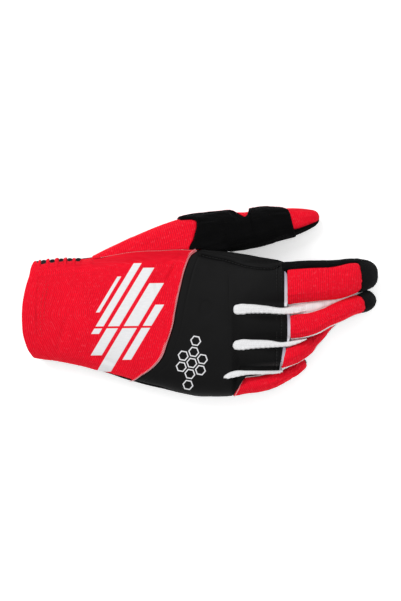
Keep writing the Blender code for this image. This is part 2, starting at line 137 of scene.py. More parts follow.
# Where the black back's front edge and the woven trims lie, by angle.
FRONT_EDGE = table(
    "angle x trim",
    (10, 0.6225, 0.000), (34, 0.6225, 0.000), (40, 0.6225, 0.018), (55, 0.6225, 0.026), (72, 0.6225, 0.026),
    (77, 0.6225, 0.018), (83, 0.6430, 0.016), (88, 0.6450, 0.026), (98, 0.6450, 0.024),
    (103, 0.6430, 0.008), (105, 0.6150, 0.010), (110, 0.6100, 0.024), (125, 0.5940, 0.024),
    (137, 0.5850, 0.008),
)

# The finger roots that the back is drawn over.
ROOTS = table(
    "y z half_width half_height",
    (0.128, 0.292, 0.163, 0.142),
    (-0.195, 0.292, 0.096, 0.138),
    (-0.412, 0.290, 0.076, 0.120),
)

FINGERS = {
    "index": table(
        "x y z half_width half_height",
        (0.600, 0.124, 0.290, 0.163, 0.142),
        (0.649, 0.128, 0.292, 0.163, 0.142),
        (0.750, 0.140, 0.318, 0.159, 0.135),
        (0.885, 0.150, 0.323, 0.152, 0.129),
        (1.020, 0.161, 0.297, 0.145, 0.121),
        (1.110, 0.181, 0.255, 0.134, 0.114),
        (1.185, 0.191, 0.203, 0.124, 0.107),
        (1.230, 0.195, 0.135, 0.109, 0.100),
        (1.250, 0.195, 0.068, 0.094, 0.092),
    ),
    "middle": table(
        "x y z half_width half_height",
        (0.600, -0.201, 0.290, 0.096, 0.138),
        (0.671, -0.195, 0.292, 0.096, 0.138),
        (0.750, -0.184, 0.312, 0.094, 0.131),
        (0.840, -0.165, 0.333, 0.086, 0.116),
        (0.930, -0.124, 0.333, 0.077, 0.109),
        (1.020, -0.084, 0.304, 0.078, 0.108),
        (1.110, -0.046, 0.255, 0.073, 0.107),
        (1.185, -0.021, 0.198, 0.074, 0.102),
        (1.222, -0.008, 0.130, 0.076, 0.096),
        (1.244, 0.008, 0.068, 0.077, 0.090),
    ),
    "ring": table(
        "x y z half_width half_height",
        (0.600, -0.430, 0.288, 0.086, 0.120),
        (0.656, -0.412, 0.290, 0.076, 0.120),
        (0.701, -0.392, 0.276, 0.073, 0.116),
        (0.747, -0.366, 0.243, 0.070, 0.106),
        (0.791, -0.334, 0.193, 0.066, 0.098),
        (0.831, -0.292, 0.148, 0.063, 0.092),
        (0.885, -0.233, 0.106, 0.062, 0.088),
        (0.926, -0.182, 0.090, 0.062, 0.086),
        (0.975, -0.130, 0.089, 0.064, 0.086),
        (1.020, -0.090, 0.085, 0.060, 0.083),
    ),
    "little": table(
        "x y z half_width half_height",
        (0.2475, -0.638, 0.205, 0.071, 0.112),
        (0.345, -0.626, 0.210, 0.064, 0.110),
        (0.435, -0.617, 0.210, 0.061, 0.106),
        (0.510, -0.600, 0.195, 0.060, 0.102),
        (0.585, -0.567, 0.164, 0.060, 0.097),
        (0.652, -0.531, 0.124, 0.059, 0.091),
        (0.712, -0.494, 0.098, 0.057, 0.087),
        (0.750, -0.464, 0.088, 0.055, 0.085),
        (0.782, -0.438, 0.084, 0.052, 0.082),
    ),
    "thumb": table(
        "x y z half_width half_height",
        (-0.825, 0.308, 0.135, 0.015, 0.104),
        (-0.555, 0.356, 0.133, 0.094, 0.120),
        (-0.375, 0.386, 0.133, 0.139, 0.134),
        (-0.195, 0.420, 0.135, 0.172, 0.138),
        (-0.015, 0.465, 0.135, 0.174, 0.135),
        (0.105, 0.495, 0.130, 0.156, 0.130),
        (0.210, 0.521, 0.126, 0.141, 0.126),
        (0.345, 0.532, 0.122, 0.130, 0.122),
        (0.480, 0.560, 0.117, 0.128, 0.117),
        (0.615, 0.581, 0.110, 0.108, 0.110),
        (0.705, 0.593, 0.102, 0.101, 0.102),
        (0.795, 0.610, 0.090, 0.080, 0.090),
        (0.855, 0.620, 0.080, 0.060, 0.076),
        (0.890, 0.620, 0.074, 0.050, 0.066),
    ),
}

# The stations of each finger's cap and of its roots at the thumb side and the little side, on the back and on
# the palm, the angles of its two seams, and the degrees of white strip at each side.
FINGER_PLAN = {
    "index": {
        "cap": 1.140, "back_root": (0.649, 0.649), "palm_root": (0.612, 0.616), "low": 53.0, "high": 180.0,
        "thumb_strip": 0.0, "little_strip": 16.0, "rise": 10.0,
    },
    "middle": {
        "cap": 1.160, "back_root": (0.671, 0.671), "palm_root": (0.616, 0.616), "low": 0.0, "high": 180.0,
        "thumb_strip": 20.0, "little_strip": 28.0, "rise": 0.0,
    },
    "ring": {
        "cap": 0.965, "back_root": (0.638, 0.604), "palm_root": (0.616, 0.604), "low": 0.0, "high": 180.0,
        "thumb_strip": 24.0, "little_strip": 26.0, "rise": 0.0,
    },
    "little": {
        "cap": 0.776, "back_root": (0.331, 0.2475), "palm_root": (0.331, 0.2475), "low": 0.0, "high": 180.0,
        "thumb_strip": 16.0, "little_strip": 0.0, "rise": 0.0,
    },
}
STRIP_END = 0.975

THUMB_EDGES = table(
    "x top under back_high palm_low",
    (-0.825, 84, -129, 84, 231),
    (-0.555, 86, -129, 86, 231),
    (-0.375, 94, -129, 94, 231),
    (-0.195, 103, -134, 103, 226),
    (-0.140, 107, -140, 106, 222),
    (-0.060, 113, -150, 112, 212),
    (0.020, 120, -160, 118, 196),
    (0.105, 136, -170, 122, 172),
    (0.160, 150, -178, 122, 152),
    (0.210, 176, -180, 122, 126),
    (0.240, 184, -180, 122, 122),
    (0.900, 184, -180, 122, 122),
)
GUSSET_END = table(
    "angle x",
    (-180, -0.140), (-30, -0.140), (8, -0.112), (22, -0.098), (30, -0.062), (36, -0.028), (44, -0.006),
    (55, -0.002), (67, -0.010), (88, -0.044), (102, -0.073), (140, -0.078),
)
PALM_BEGIN = table(
    "angle x",
    (120, 0.010), (195, 0.000), (228, -0.050), (245, -0.135), (304, -0.135),
)
COVER_EDGE = table(
    "x low",
    (-0.140, -14), (0.228, -14), (0.246, 6), (0.264, 30), (0.286, 44), (0.312, 50), (0.345, 50),
    (0.366, 44), (0.382, 28), (0.392, 4), (0.402, -12), (0.720, -10),
)
COVER_END = table(
    "angle x",
    (-20, 0.615), (0, 0.622), (40, 0.660), (90, 0.675), (184, 0.705),
)
THUMB_CUT = 122.0

GUSSETS = {
    "gusset_index_middle": table(
        "x y half_width",
        (0.240, -0.064, 0.006), (0.254, -0.064, 0.027), (0.282, -0.062, 0.037), (0.360, -0.058, 0.035),
        (0.480, -0.062, 0.029), (0.615, -0.074, 0.024), (0.690, -0.068, 0.028), (0.780, -0.054, 0.024),
        (0.860, -0.036, 0.016), (0.930, -0.018, 0.005),
    ),
    "gusset_middle_ring": table(
        "x y half_width",
        (0.240, -0.328, 0.006), (0.253, -0.328, 0.026), (0.285, -0.325, 0.036), (0.390, -0.319, 0.033),
        (0.510, -0.318, 0.028), (0.610, -0.322, 0.018), (0.670, -0.315, 0.018), (0.740, -0.297, 0.012),
        (0.790, -0.280, 0.004),
    ),
    "gusset_ring_little": table(
        "x y half_width",
        (0.172, -0.565, 0.005), (0.200, -0.556, 0.018), (0.255, -0.541, 0.024), (0.345, -0.531, 0.016),
        (0.480, -0.529, 0.014), (0.570, -0.526, 0.012), (0.612, -0.519, 0.007),
    ),
}

ROLL_EDGE = table(
    "x angle",
    (-0.010, 31), (0.075, 32), (0.188, 32), (0.338, 36), (0.465, 36), (0.560, 30), (0.605, 20),
)

# Curves, tubes and noise


def smooth(at, knots, values):
    """A cubic through the knots with central slopes, level with its end values outside them."""
    at = np.clip(at, knots[0], knots[-1])
    slope = np.gradient(values, knots)
    n = np.clip(np.searchsorted(knots, at) - 1, 0, len(knots) - 2)
    span = knots[n + 1] - knots[n]
    u = (at - knots[n]) / span
    near = (1 + 2 * u) * (1 - u) ** 2 * values[n] + u * (1 - u) ** 2 * span * slope[n]
    far = u * u * (3 - 2 * u) * values[n + 1] + u * u * (u - 1) * span * slope[n + 1]
    return near + far


def ease(u):
    """Zero below 0, one above 1, and 3u^2 - 2u^3 between."""
    u = np.clip(u, 0, 1)
    return u * u * (3 - 2 * u)


def soft_larger(a, b, width):
    """The larger of two values, rounded over a width.

    It is half their sum plus half the root of their gap's square plus the width's.
    """
    return 0.5 * (a + b + np.sqrt((a - b) ** 2 + width**2))


def wander(u, v, grain, seed):
    """Value noise from -1 to 1: random numbers on a lattice of the grain's size, blended by ease."""
    lattice = np.random.RandomState(seed).uniform(-1, 1, (64, 64))
    a, b = u / grain, v / grain
    i, j = np.floor(a).astype(int), np.floor(b).astype(int)
    s, t = ease(a - i), ease(b - j)
    corner = [[lattice[(i + di) % 64, (j + dj) % 64] for dj in (0, 1)] for di in (0, 1)]
    near = corner[0][0] * (1 - t) + corner[0][1] * t
    far = corner[1][0] * (1 - t) + corner[1][1] * t
    return near * (1 - s) + far * s


def rounding(angle):
    """How far across and up a superellipse a turn lies: signed cosine and sine to the power 2/POWER."""
    turn = np.radians(angle)
    across = np.sign(np.cos(turn)) * np.abs(np.cos(turn)) ** (2 / POWER)
    up = np.sign(np.sin(turn)) * np.abs(np.sin(turn)) ** (2 / POWER)
    return across, up


def knuckles(y):
    """The finger roots' tops side by side, with rounded valleys filled to one height."""
    inner = ease((ROOTS["y"][0] - y) / 0.06) * ease((y - ROOTS["y"][2]) / 0.06)
    top = SIDE_FLOOR + (VALLEY - SIDE_FLOOR) * inner
    for n in range(3):
        root = {key: column[n] for key, column in ROOTS.items()}
        out = np.abs((y - root["y"]) / root["half_width"])
        rise = np.clip(1 - out**POWER, 0, 1) ** (1 / POWER)
        crest = root["z"] + root["half_height"] * rise - 0.4 * np.clip(out - 1, 0, 1)
        top = soft_larger(crest, top, 0.012) - 0.004
    return np.where(y > ROOTS["y"][0] + ROOTS["half_width"][0], ROOTS["z"][0], top)


def hand_point(x, angle, depth=0.0):
    """The hand's tube at a depth below its face: a superellipse between its sides, crown and keel."""
    thumb_side = smooth(x, HAND["x"], HAND["thumb_side"])
    little_side = smooth(x, HAND["x"], HAND["little_side"])
    crown = smooth(x, HAND["x"], HAND["crown"])
    keel = smooth(x, HAND["x"], HAND["keel"])
    across, up = rounding(angle)
    y = 0.5 * (thumb_side + little_side) + (0.5 * (thumb_side - little_side) - depth) * across
    z = 0.5 * (crown + keel) + (0.5 * (crown - keel) - depth) * up
    blend = ease((x - 0.20) / (FRONT - 0.20)) * np.clip(4 * up, 0, 1)
    z = z + blend * (knuckles(y) - depth - z)
    return np.stack([x + 0 * y, y, np.maximum(z, np.maximum(depth, 0))], axis=-1)


def back_height(x, y):
    """The height of the hand's back above a point of the floor: its superellipse solved for that breadth."""
    thumb_side = smooth(x, HAND["x"], HAND["thumb_side"])
    little_side = smooth(x, HAND["x"], HAND["little_side"])
    out = (y - 0.5 * (thumb_side + little_side)) / (0.5 * (thumb_side - little_side))
    across = np.clip(np.sign(out) * np.abs(out) ** (POWER / 2), -1, 1)
    return hand_point(x, np.degrees(np.arccos(across)))[..., 2]


def lengths(name):
    """How far along the finger's middle line each of its rows lies."""
    rows = np.stack([FINGERS[name][key] for key in "xyz"], axis=-1)
    return np.concatenate([[0], np.cumsum(np.linalg.norm(np.diff(rows, axis=0), axis=1))])


def middle_line(name, way):
    """The finger's middle line, half width and half height at a share of its length, by cubics."""
    knots = lengths(name) / lengths(name)[-1]
    keys = ("x", "y", "z", "half_width", "half_height")
    x, y, z, width, height = (smooth(way, knots, FINGERS[name][key]) for key in keys)
    return np.stack([x, y, z], axis=-1), width, height


def way_at(name, x):
    """The share of the finger's length at which its middle line passes a station."""
    return np.interp(x, FINGERS[name]["x"], lengths(name) / lengths(name)[-1])


def finger_point(name, way, angle, depth=0.0, lift=0.0, facing=90.0):
    """The finger's tube: superellipses square to its middle line, flat on the floor.

    Over the nose they are drawn in by another superellipse, of the power NOSE_POWER.
    """
    length = lengths(name)[-1]
    inner_way = way * (1 - np.maximum(depth, 0) / length)
    middle, width, height = middle_line(name, inner_way)
    front = np.minimum(inner_way + 0.01, 1)
    along = middle_line(name, front)[0] - middle_line(name, np.maximum(front - 0.02, 0))[0]
    along = along / np.linalg.norm(along, axis=-1, keepdims=True)
    if name != "thumb":
        along = along + 8 * np.clip(1 - way / ROOT_SHARE, 0, 1)[..., None] * np.array([1.0, 0.0, 0.0])
        along = along / np.linalg.norm(along, axis=-1, keepdims=True)
    side = np.cross([0.0, 0.0, 1.0], along)
    side = side / np.linalg.norm(side, axis=-1, keepdims=True)
    up_line = np.cross(along, side)
    begin = 1 - NOSE_REACH * FINGERS[name]["half_width"][-1] / length
    ahead = np.clip((way - begin) / (1 - begin), 0, 1)
    nose = np.clip(1 - ahead ** NOSE_POWER[name], 0, 1) ** (1 / NOSE_POWER[name])
    across, up = rounding(angle)
    out = ((width - depth) * nose * across)[..., None] * side
    rise = ((height - depth) * nose * up)[..., None] * up_line
    turn = np.radians(facing)
    point = middle + out + rise + lift * (np.cos(turn) * side + np.sin(turn) * up_line)
    point[..., 2] = np.maximum(point[..., 2], np.maximum(depth, 0))
    return point


# Grids, their edges and their meshes


def shares(rows, columns, nose=False):
    """Two grids of shares from 0 to 1, the first closing up towards 1 as a sine does at a nose."""
    first = np.linspace(0, 1, rows + 1)
    if nose:
        first = np.sin(0.5 * np.pi * first)
    return np.meshgrid(first, np.linspace(0, 1, columns + 1), indexing="ij")


def solve_panel(start, end, low, high, rows, columns, nose=False):
    """Stations and angles of a panel: its ends depend on the angle and its edges on the station."""
    along, around = shares(rows, columns, nose)
    angle = low(0 * along) + (high(0 * along) - low(0 * along)) * around
    for _ in range(14):
        x = start(angle) + (end(angle) - start(angle)) * along
        angle = low(x) + (high(x) - low(x)) * around
    return x, angle


def normals(grid):
    """Unit normals of a grid of points: the cross product of its two differences."""
    along = np.gradient(grid, axis=0)
    around = np.gradient(grid, axis=1)
    face = np.cross(along, around)
    size = np.linalg.norm(face, axis=-1, keepdims=True)
    return face / np.maximum(size, 1e-12)


def outward(grid, inner):
    """Unit normals of the outer grid that point away from the inner one."""
    face = normals(grid)
    sign = np.sign(np.sum(np.sum(face * (grid - inner), axis=-1)))
    return face * (sign if sign else 1)


def reach(grid):
    """Distances in shares along a grid from its first row, last row, first column and last column."""
    rows = np.linalg.norm(np.diff(grid, axis=0), axis=-1)
    columns = np.linalg.norm(np.diff(grid, axis=1), axis=-1)
    first_row = np.concatenate([np.zeros((1, grid.shape[1])), np.cumsum(rows, axis=0)])
    first_column = np.concatenate([np.zeros((grid.shape[0], 1)), np.cumsum(columns, axis=1)], axis=1)
    last_row, last_column = first_row[-1:] - first_row, first_column[:, -1:] - first_column
    return first_row, last_row, first_column, last_column


def groove(distance, width, depth):
    """How far a panel sinks at a distance from its seam: a bell, its width and depth in millimetres."""
    return -depth * MM * np.exp(-((distance / (width * MM)) ** 2))


def grooves(*rows):
    """Several grooves together, each a distance, a width and a depth."""
    return sum(groove(*row) for row in rows)


def ridge(distance, place, width, height):
    """A raised line at a distance from the seam: a bell round that place."""
    return height * np.exp(-(((distance - place) / width) ** 2))


def to_metres(grid):
    """Points in metres of the frame, from shares of the row across the knuckles."""
    return grid * KNUCKLES + ORIGIN


def grid_mesh(name, outer, inner, look, hidden=()):
    """One closed body between two grids: quads over both, and a rim joining them.

    Its UV is the distance along and around, in metres.
    """
    rows, columns = outer.shape[:2]
    along, _, around, _ = reach(outer)
    uv = np.stack([along, around - 0.5 * around[:, -1:]], axis=-1) * KNUCKLES
    points = to_metres(np.concatenate([outer.reshape(-1, 3), inner.reshape(-1, 3)]))
    number = np.arange(rows * columns).reshape(rows, columns)
    below = number + rows * columns
    a, b, c, d = number[:-1, :-1], number[1:, :-1], number[1:, 1:], number[:-1, 1:]
    faces = [np.stack([a, b, c, d], axis=-1).reshape(-1, 4)]
    a, b, c, d = below[:-1, :-1], below[:-1, 1:], below[1:, 1:], below[1:, :-1]
    faces.append(np.stack([a, b, c, d], axis=-1).reshape(-1, 4))
    rims = ((number[:, 0], below[:, 0], 1), (number[:, -1], below[:, -1], -1))
    rims += ((number[0], below[0], -1), (number[-1], below[-1], 1))
    for top, bottom, way in rims:
        faces.append(np.stack([top[:-1], bottom[:-1], bottom[1:], top[1:]], axis=-1)[:, ::way])
    faces = np.concatenate(faces)
    data = bpy.data.meshes.new(name)
    data.from_pydata(points, [], faces)
    layer = data.uv_layers.new(name="cloth")
    flat = np.concatenate([uv.reshape(-1, 2), uv.reshape(-1, 2)])
    layer.data.foreach_set("uv", flat[faces.reshape(-1)].astype(np.float32).reshape(-1))
    face_out(data, WELD)
    return place(name, data, look, hidden)


def face_out(data, weld=0.0):
    """Turns a mesh's faces outward and smooths them, after points nearer than the weld have been joined."""
    work = bmesh.new()
    work.from_mesh(data)
    if weld:
        bmesh.ops.remove_doubles(work, verts=work.verts, dist=weld)
    bmesh.ops.recalc_face_normals(work, faces=work.faces)
    if weld and work.calc_volume(signed=True) < 0:
        bmesh.ops.reverse_faces(work, faces=work.faces)
    work.to_mesh(data)
    work.free()
    data.shade_smooth()


def place(name, data, look, hidden=()):
    """Links the mesh as a piece that rides on the glove and stands for its CAD nodes."""
    data.materials.append(material(look))
    piece = bpy.data.objects.new(name, data)
    bpy.context.scene.collection.objects.link(piece)
    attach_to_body(piece, "root")
    if hidden:
        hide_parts(*hidden)
    return piece


def rods(name, starts, ends, radius, look):
    """Short rounded threads: each a tube of five rings that are narrower towards its ends."""
    sides = THREAD_SIDES
    count = len(starts)
    line = ends - starts
    size = np.linalg.norm(line, axis=1, keepdims=True)
    line = line / np.maximum(size, 1e-9)
    helper = np.where(np.abs(line[:, 2:3]) < 0.9, [[0.0, 0.0, 1.0]], [[1.0, 0.0, 0.0]])
    side = np.cross(line, helper)
    side /= np.linalg.norm(side, axis=1, keepdims=True)
    up = np.cross(side, line)
    ways = np.array([0.0, 0.12, 0.5, 0.88, 1.0])
    widths = np.array([0.35, 0.85, 1.0, 0.85, 0.35])
    turn = np.linspace(0, 2 * np.pi, sides, endpoint=False)
    ring = np.cos(turn)[None, :, None] * side[:, None] + np.sin(turn)[None, :, None] * up[:, None]
    centre = starts[:, None, :] + (ends - starts)[:, None, :] * ways[None, :, None]
    points = centre[:, :, None, :] + radius * widths[None, :, None, None] * ring[:, None, :, :]
    points = points.reshape(-1, 3)
    n = np.arange(len(ways) - 1)[:, None] * sides + np.arange(sides)[None, :]
    m = np.arange(len(ways) - 1)[:, None] * sides + (np.arange(sides)[None, :] + 1) % sides
    quad = np.stack([n, n + sides, m + sides, m], axis=-1).reshape(-1, 4)
    step = len(ways) * sides
    quads = (quad[None] + (np.arange(count) * step)[:, None, None]).reshape(-1, 4)
    begin = (np.arange(count) * step)[:, None]
    first = (np.arange(sides)[None] + begin).tolist()
    last = (np.arange(sides)[None, ::-1] + begin + step - sides).tolist()
    data = bpy.data.meshes.new(name)
    data.from_pydata(to_metres(points), [], quads.tolist() + first + last)
    face_out(data)
    return place(name, data, look)


def stitch_row(name, line, face, pitch, length, radius, lean, look):
    """Stitches at even steps on a line, leaning across it by a share of their length; sizes in mm."""
    pitch, length, radius = pitch * MM, length * MM, radius * MM
    gaps = np.linalg.norm(np.diff(line, axis=0), axis=1)
    way = np.concatenate([[0], np.cumsum(gaps)])
    count = max(2, int(way[-1] / pitch))
    at = (np.arange(count) + 0.5) * way[-1] / count
    centre, ahead, up = (
        np.stack([np.interp(place_at, way, values[:, k]) for k in range(3)], axis=-1)
        for place_at, values in ((at, line), (at + 0.2 * pitch, line), (at, face))
    )
    ahead = ahead - centre
    ahead /= np.maximum(np.linalg.norm(ahead, axis=1, keepdims=True), 1e-9)
    up /= np.linalg.norm(up, axis=1, keepdims=True)
    side = np.cross(up, ahead)
    half = 0.5 * length * (ahead * np.sqrt(max(0.0, 1 - lean**2)) + side * lean)
    centre = centre + radius * 0.5 * up
    return rods(name, centre - half, centre + half, radius, look)


# Materials


class Value:
    """A socket of a material's node tree that sums and products can be written with."""

    def __init__(self, cloth, socket):
        self.cloth = cloth
        self.socket = socket

    def __add__(self, other):
        return self.cloth.math("ADD", self, other)

    def __sub__(self, other):
        return self.cloth.math("SUBTRACT", self, other)

    def __rsub__(self, other):
        return self.cloth.math("SUBTRACT", other, self)

    def __mul__(self, other):
        return self.cloth.math("MULTIPLY", self, other)


class Cloth:
    """A Principled material with small helpers to wire its height and colour."""

    def __init__(self, name, rough, sheen=0.0, sheen_rough=0.5, sheen_tint=(1, 1, 1, 1), specular=0.3):
        self.material = bpy.data.materials.new(name)
        self.material.use_nodes = True
        self.nodes = self.material.node_tree.nodes
        self.links = self.material.node_tree.links
        self.shader = self.nodes["Principled BSDF"]
        self.coordinates = self.nodes.new("ShaderNodeTexCoord")
        inputs = {
            "Roughness": rough, "Specular IOR Level": specular, "Sheen Weight": sheen,
            "Sheen Roughness": sheen_rough, "Sheen Tint": sheen_tint,
        }
        for key, value in inputs.items():
            self.shader.inputs[key].default_value = value

    def feed(self, socket, value):
        if isinstance(value, Value):
            self.links.new(value.socket, socket)
        else:
            socket.default_value = value

    def math(self, operation, a, b=None, clamp=False):
        node = self.nodes.new("ShaderNodeMath")
        node.operation = operation
        node.use_clamp = clamp
        self.feed(node.inputs[0], a)
        if b is not None:
            self.feed(node.inputs[1], b)
        return Value(self, node.outputs[0])

    def axes(self, space="UV"):
        node = self.nodes.new("ShaderNodeSeparateXYZ")
        self.links.new(self.coordinates.outputs[space], node.inputs[0])
        return [Value(self, output) for output in node.outputs]

    def noise(self, scale, detail=2.0, rough=0.5, stretch=(1, 1, 1), space="UV"):
        mapping = self.nodes.new("ShaderNodeMapping")
        mapping.inputs["Scale"].default_value = stretch
        self.links.new(self.coordinates.outputs[space], mapping.inputs["Vector"])
        node = self.nodes.new("ShaderNodeTexNoise")
        for key, value in (("Scale", scale), ("Detail", detail), ("Roughness", rough)):
            node.inputs[key].default_value = value
        self.links.new(mapping.outputs[0], node.inputs["Vector"])
        return Value(self, node.outputs[0])

    def mix(self, share, low, high):
        node = self.nodes.new("ShaderNodeMix")
        node.data_type = "RGBA"
        for number, value in ((0, share), (6, low), (7, high)):
            self.feed(node.inputs[number], value)
        return Value(self, node.outputs[2])

    def dress(self, colour, height=None, distance=0.0, strength=1.0):
        """Wires the colour and, where there is one, the height, and gives the finished material."""
        self.feed(self.shader.inputs["Base Color"], colour)
        if height:
            node = self.nodes.new("ShaderNodeBump")
            node.inputs["Distance"].default_value = distance
            node.inputs["Strength"].default_value = strength
            self.feed(node.inputs["Height"], height)
            self.links.new(node.outputs[0], self.shader.inputs["Normal"])
        return self.material


def ribs(value, pitch):
    """A rib's profile along a value: half a sine wave plus one half."""
    return value.cloth.math("SINE", value * (2 * np.pi / pitch)) * 0.5 + 0.5


def shade(colour, factor):
    return (colour[0] * factor, colour[1] * factor, colour[2] * factor, 1.0)


def red_knit(name, colour, rib_pitch, rib_depth, graphic=None):
    """Knit cloth: ribs across the panel, cross threads, a heathered tone and perhaps a white print; the ribs'
    troughs are darkened with painted shade.
    """
    cloth = Cloth(name, 0.85, sheen=0.03, sheen_rough=0.4, sheen_tint=(1.0, 0.45, 0.45, 1.0), specular=0.06)
    along, around, _ = cloth.axes()
    rib = ribs(along, rib_pitch)
    heather = cloth.noise(260, 3, 0.6, (1.0, 3.2, 1.0))
    # The rib term is painted shade in the troughs; the heather and the noise are the knit's own tone.
    tone = rib * 0.36 + heather * 0.42 + cloth.noise(34) * 0.3
    base = cloth.mix(tone, shade(colour, 0.58), shade(colour, 1.30))
    fleck = cloth.math("SUBTRACT", cloth.noise(420, 2, 0.6, (2.6, 1.0, 1.0)), 0.56, clamp=True)
    base = cloth.mix(fleck * 2.2, base, (0.95, 0.10, 0.14, 1.0))
    if graphic:
        print_tone = cloth.mix(heather, (0.74, 0.74, 0.76, 1), (0.88, 0.88, 0.89, 1))
        base = cloth.mix(graphic(cloth), base, print_tone)
    return cloth.dress(base, rib * 0.6 + ribs(around, 0.0011) * 0.25 + heather * 0.5, rib_depth, 0.8)


def band(value, low, high, soft):
    """One inside a band of the value, zero outside, with soft edges."""
    math = value.cloth.math
    return math("DIVIDE", value - low, soft, clamp=True) * math("DIVIDE", high - value, soft, clamp=True)


def slanted(cloth, centre, degrees):
    """Distances along and across a slanted line through a point of the plan."""
    x, y, _ = cloth.axes("Object")
    cos, sin = float(np.cos(np.radians(degrees))), float(np.sin(np.radians(degrees)))
    x, y = x - centre[0], y - centre[1]
    return x * cos + y * sin, y * cos - x * sin


# The printed bars: where each begins and ends across the slant and along its cut ends, in metres.
BARS = (
    (-0.0180, -0.0125, -0.034, 0.012),
    (-0.0100, -0.0010, -0.044, 0.030),
    (0.0015, 0.0085, -0.030, 0.043),
    (0.0110, 0.0160, -0.012, 0.047),
    (0.0185, 0.0210, 0.006, 0.036),
)
PRINT_EDGE = 0.00025


def slanted_bars(cloth):
    """The print on the red panel: broad parallel bars of uneven length, cut by a thin slash."""
    along, across = slanted(cloth, (-0.0530, -0.0135), 59.0)
    cut = along + across * 0.62
    total = None
    for low, high, begin, end in BARS:
        bar = band(across, low, high, PRINT_EDGE) * band(cut, begin, end, PRINT_EDGE)
        total = bar if total is None else cloth.math("MAXIMUM", total, bar)
    return total * (1.0 - band(cut, -0.0075, -0.0055, PRINT_EDGE))


def grip_cells(cloth):
    """A patch of outlined six-sided cells, from the nearer centre of two rectangular lattices.

    The larger of the distance across and the slanted distance says how far out in its cell a point lies.
    A cell is kept where its centre is in an ellipse.
    """
    along, across = slanted(cloth, (-0.0062, -0.0445), 80.0)
    step, rise = 0.0080, 0.0080 * 3**0.5

    def nearest(shift):
        u = cloth.math("FLOORED_MODULO", along + (shift + 0.5) * step, step) - 0.5 * step
        v = cloth.math("FLOORED_MODULO", across + (shift + 0.5) * rise, rise) - 0.5 * rise
        return u, v, u * u + v * v

    u, v, size = nearest(0.0)
    other_u, other_v, other_size = nearest(0.5)
    pick = cloth.math("LESS_THAN", other_size, size)
    u = u + pick * (other_u - u)
    v = v + pick * (other_v - v)
    side = cloth.math("ABSOLUTE", u)
    out = cloth.math("MAXIMUM", side, side * 0.5 + cloth.math("ABSOLUTE", v) * 0.75**0.5)
    far = cloth.math("DIVIDE", along - u, 0.0185)
    wide = cloth.math("DIVIDE", across - v, 0.0088)
    inside = cloth.math("LESS_THAN", far * far + wide * wide, 1.0)
    return band(out, 0.00255, 0.00350, 0.00020) * inside


def black_panel(name, colour, graphic=None):
    """Smooth stretch cloth: a fine weave, faint clouds and a soft gloss; if printed, one corner, in the
    finger valleys, is darkened with painted shade.
    """
    cloth = Cloth(name, 0.60, sheen=0.015, sheen_rough=0.35, specular=0.10)
    along, around, _ = cloth.axes()
    cloud = cloth.noise(45)
    base = cloth.mix(cloud, shade(colour, 0.75), shade(colour, 1.25))
    if graphic:
        # Painted shade: the corner ahead at the little side, in the valleys between the white gussets, is
        # darkened.
        x, y, _ = cloth.axes("Object")
        far = cloth.math("DIVIDE", x - 0.0210, 0.0015, clamp=True)
        low = cloth.math("DIVIDE", -0.0090 - y, 0.0015, clamp=True)
        base = cloth.mix(far * low, base, cloth.mix(cloud, shade(colour, 0.42), shade(colour, 0.72)))
        base = cloth.mix(graphic(cloth), base, (0.80, 0.80, 0.82, 1.0))
    weave = ribs(along, 0.0008) * ribs(around, 0.0008)
    return cloth.dress(base, weave * 0.5 + cloth.noise(900, 2, 0.6) * 0.5, 0.00012, 0.6)


def suede(name, colour):
    """Napped suede: coarse and fine noise in its height, a dusty sheen."""
    cloth = Cloth(name, 0.95, sheen=0.02, sheen_rough=0.55, sheen_tint=(0.8, 0.8, 0.85, 1.0), specular=0.03)
    patch = cloth.noise(120, 3, 0.6)
    base = cloth.mix(patch, shade(colour, 0.6), shade(colour, 1.7))
    return cloth.dress(base, cloth.noise(1400, 4, 0.7) * 0.8 + patch * 0.5, 0.00035, 0.9)


def stretch_mesh(name, colour):
    """White mesh: rows of small holes that sink and are darkened with painted shade, with a grey cast in
    patches.
    """
    cloth = Cloth(name, 0.75, sheen=0.03, specular=0.15)
    along, around, _ = cloth.axes()
    holes = ribs(along, 0.0012) * ribs(around, 0.0012)
    patch = cloth.noise(220, 3, 0.6)
    # The holes' darkening is painted shade; the patches are the mesh's own grey cast.
    base = cloth.mix(holes * 0.5 + patch * 0.5, shade(colour, 1.08), shade(colour, 0.74))
    return cloth.dress(base, patch * 0.5 - holes, 0.0002, 0.7)


def woven_trim(name, pale, grey):
    """Woven trim: grey at its thumb end, paler towards the little finger, with fine cross threads."""
    cloth = Cloth(name, 0.6, sheen=0.1, specular=0.3)
    around = cloth.axes()[1]
    tone = cloth.math("ADD", around * 38.0, 0.5, clamp=True)
    return cloth.dress(cloth.mix(tone, grey, pale), ribs(around, 0.0007), 0.0001, 0.6)


def thread(name, colour):
    """Twisted thread: fine noise over its tone."""
    cloth = Cloth(name, 0.6, sheen=0.1, specular=0.35)
    twist = cloth.noise(3000, 1, 0.5, (1.0, 1.0, 1.0), "Object")
    return cloth.dress(cloth.mix(twist, shade(colour, 0.75), shade(colour, 1.1)), twist, 0.00008, 0.6)


def studio_paper(name):
    """Pale paper with the faintest grain, which glows a little so that its shadows stay soft."""
    cloth = Cloth(name, 0.9, specular=0.1)
    cloth.shader.inputs["Emission Color"].default_value = (1.0, 1.0, 1.0, 1.0)
    cloth.shader.inputs["Emission Strength"].default_value = 0.45
    grain = cloth.noise(30, 2, 0.5, (1, 1, 1), "Object")
    return cloth.dress(cloth.mix(grain, (0.97, 0.97, 0.97, 1.0), (0.985, 0.985, 0.985, 1.0)))


MATERIALS = {}


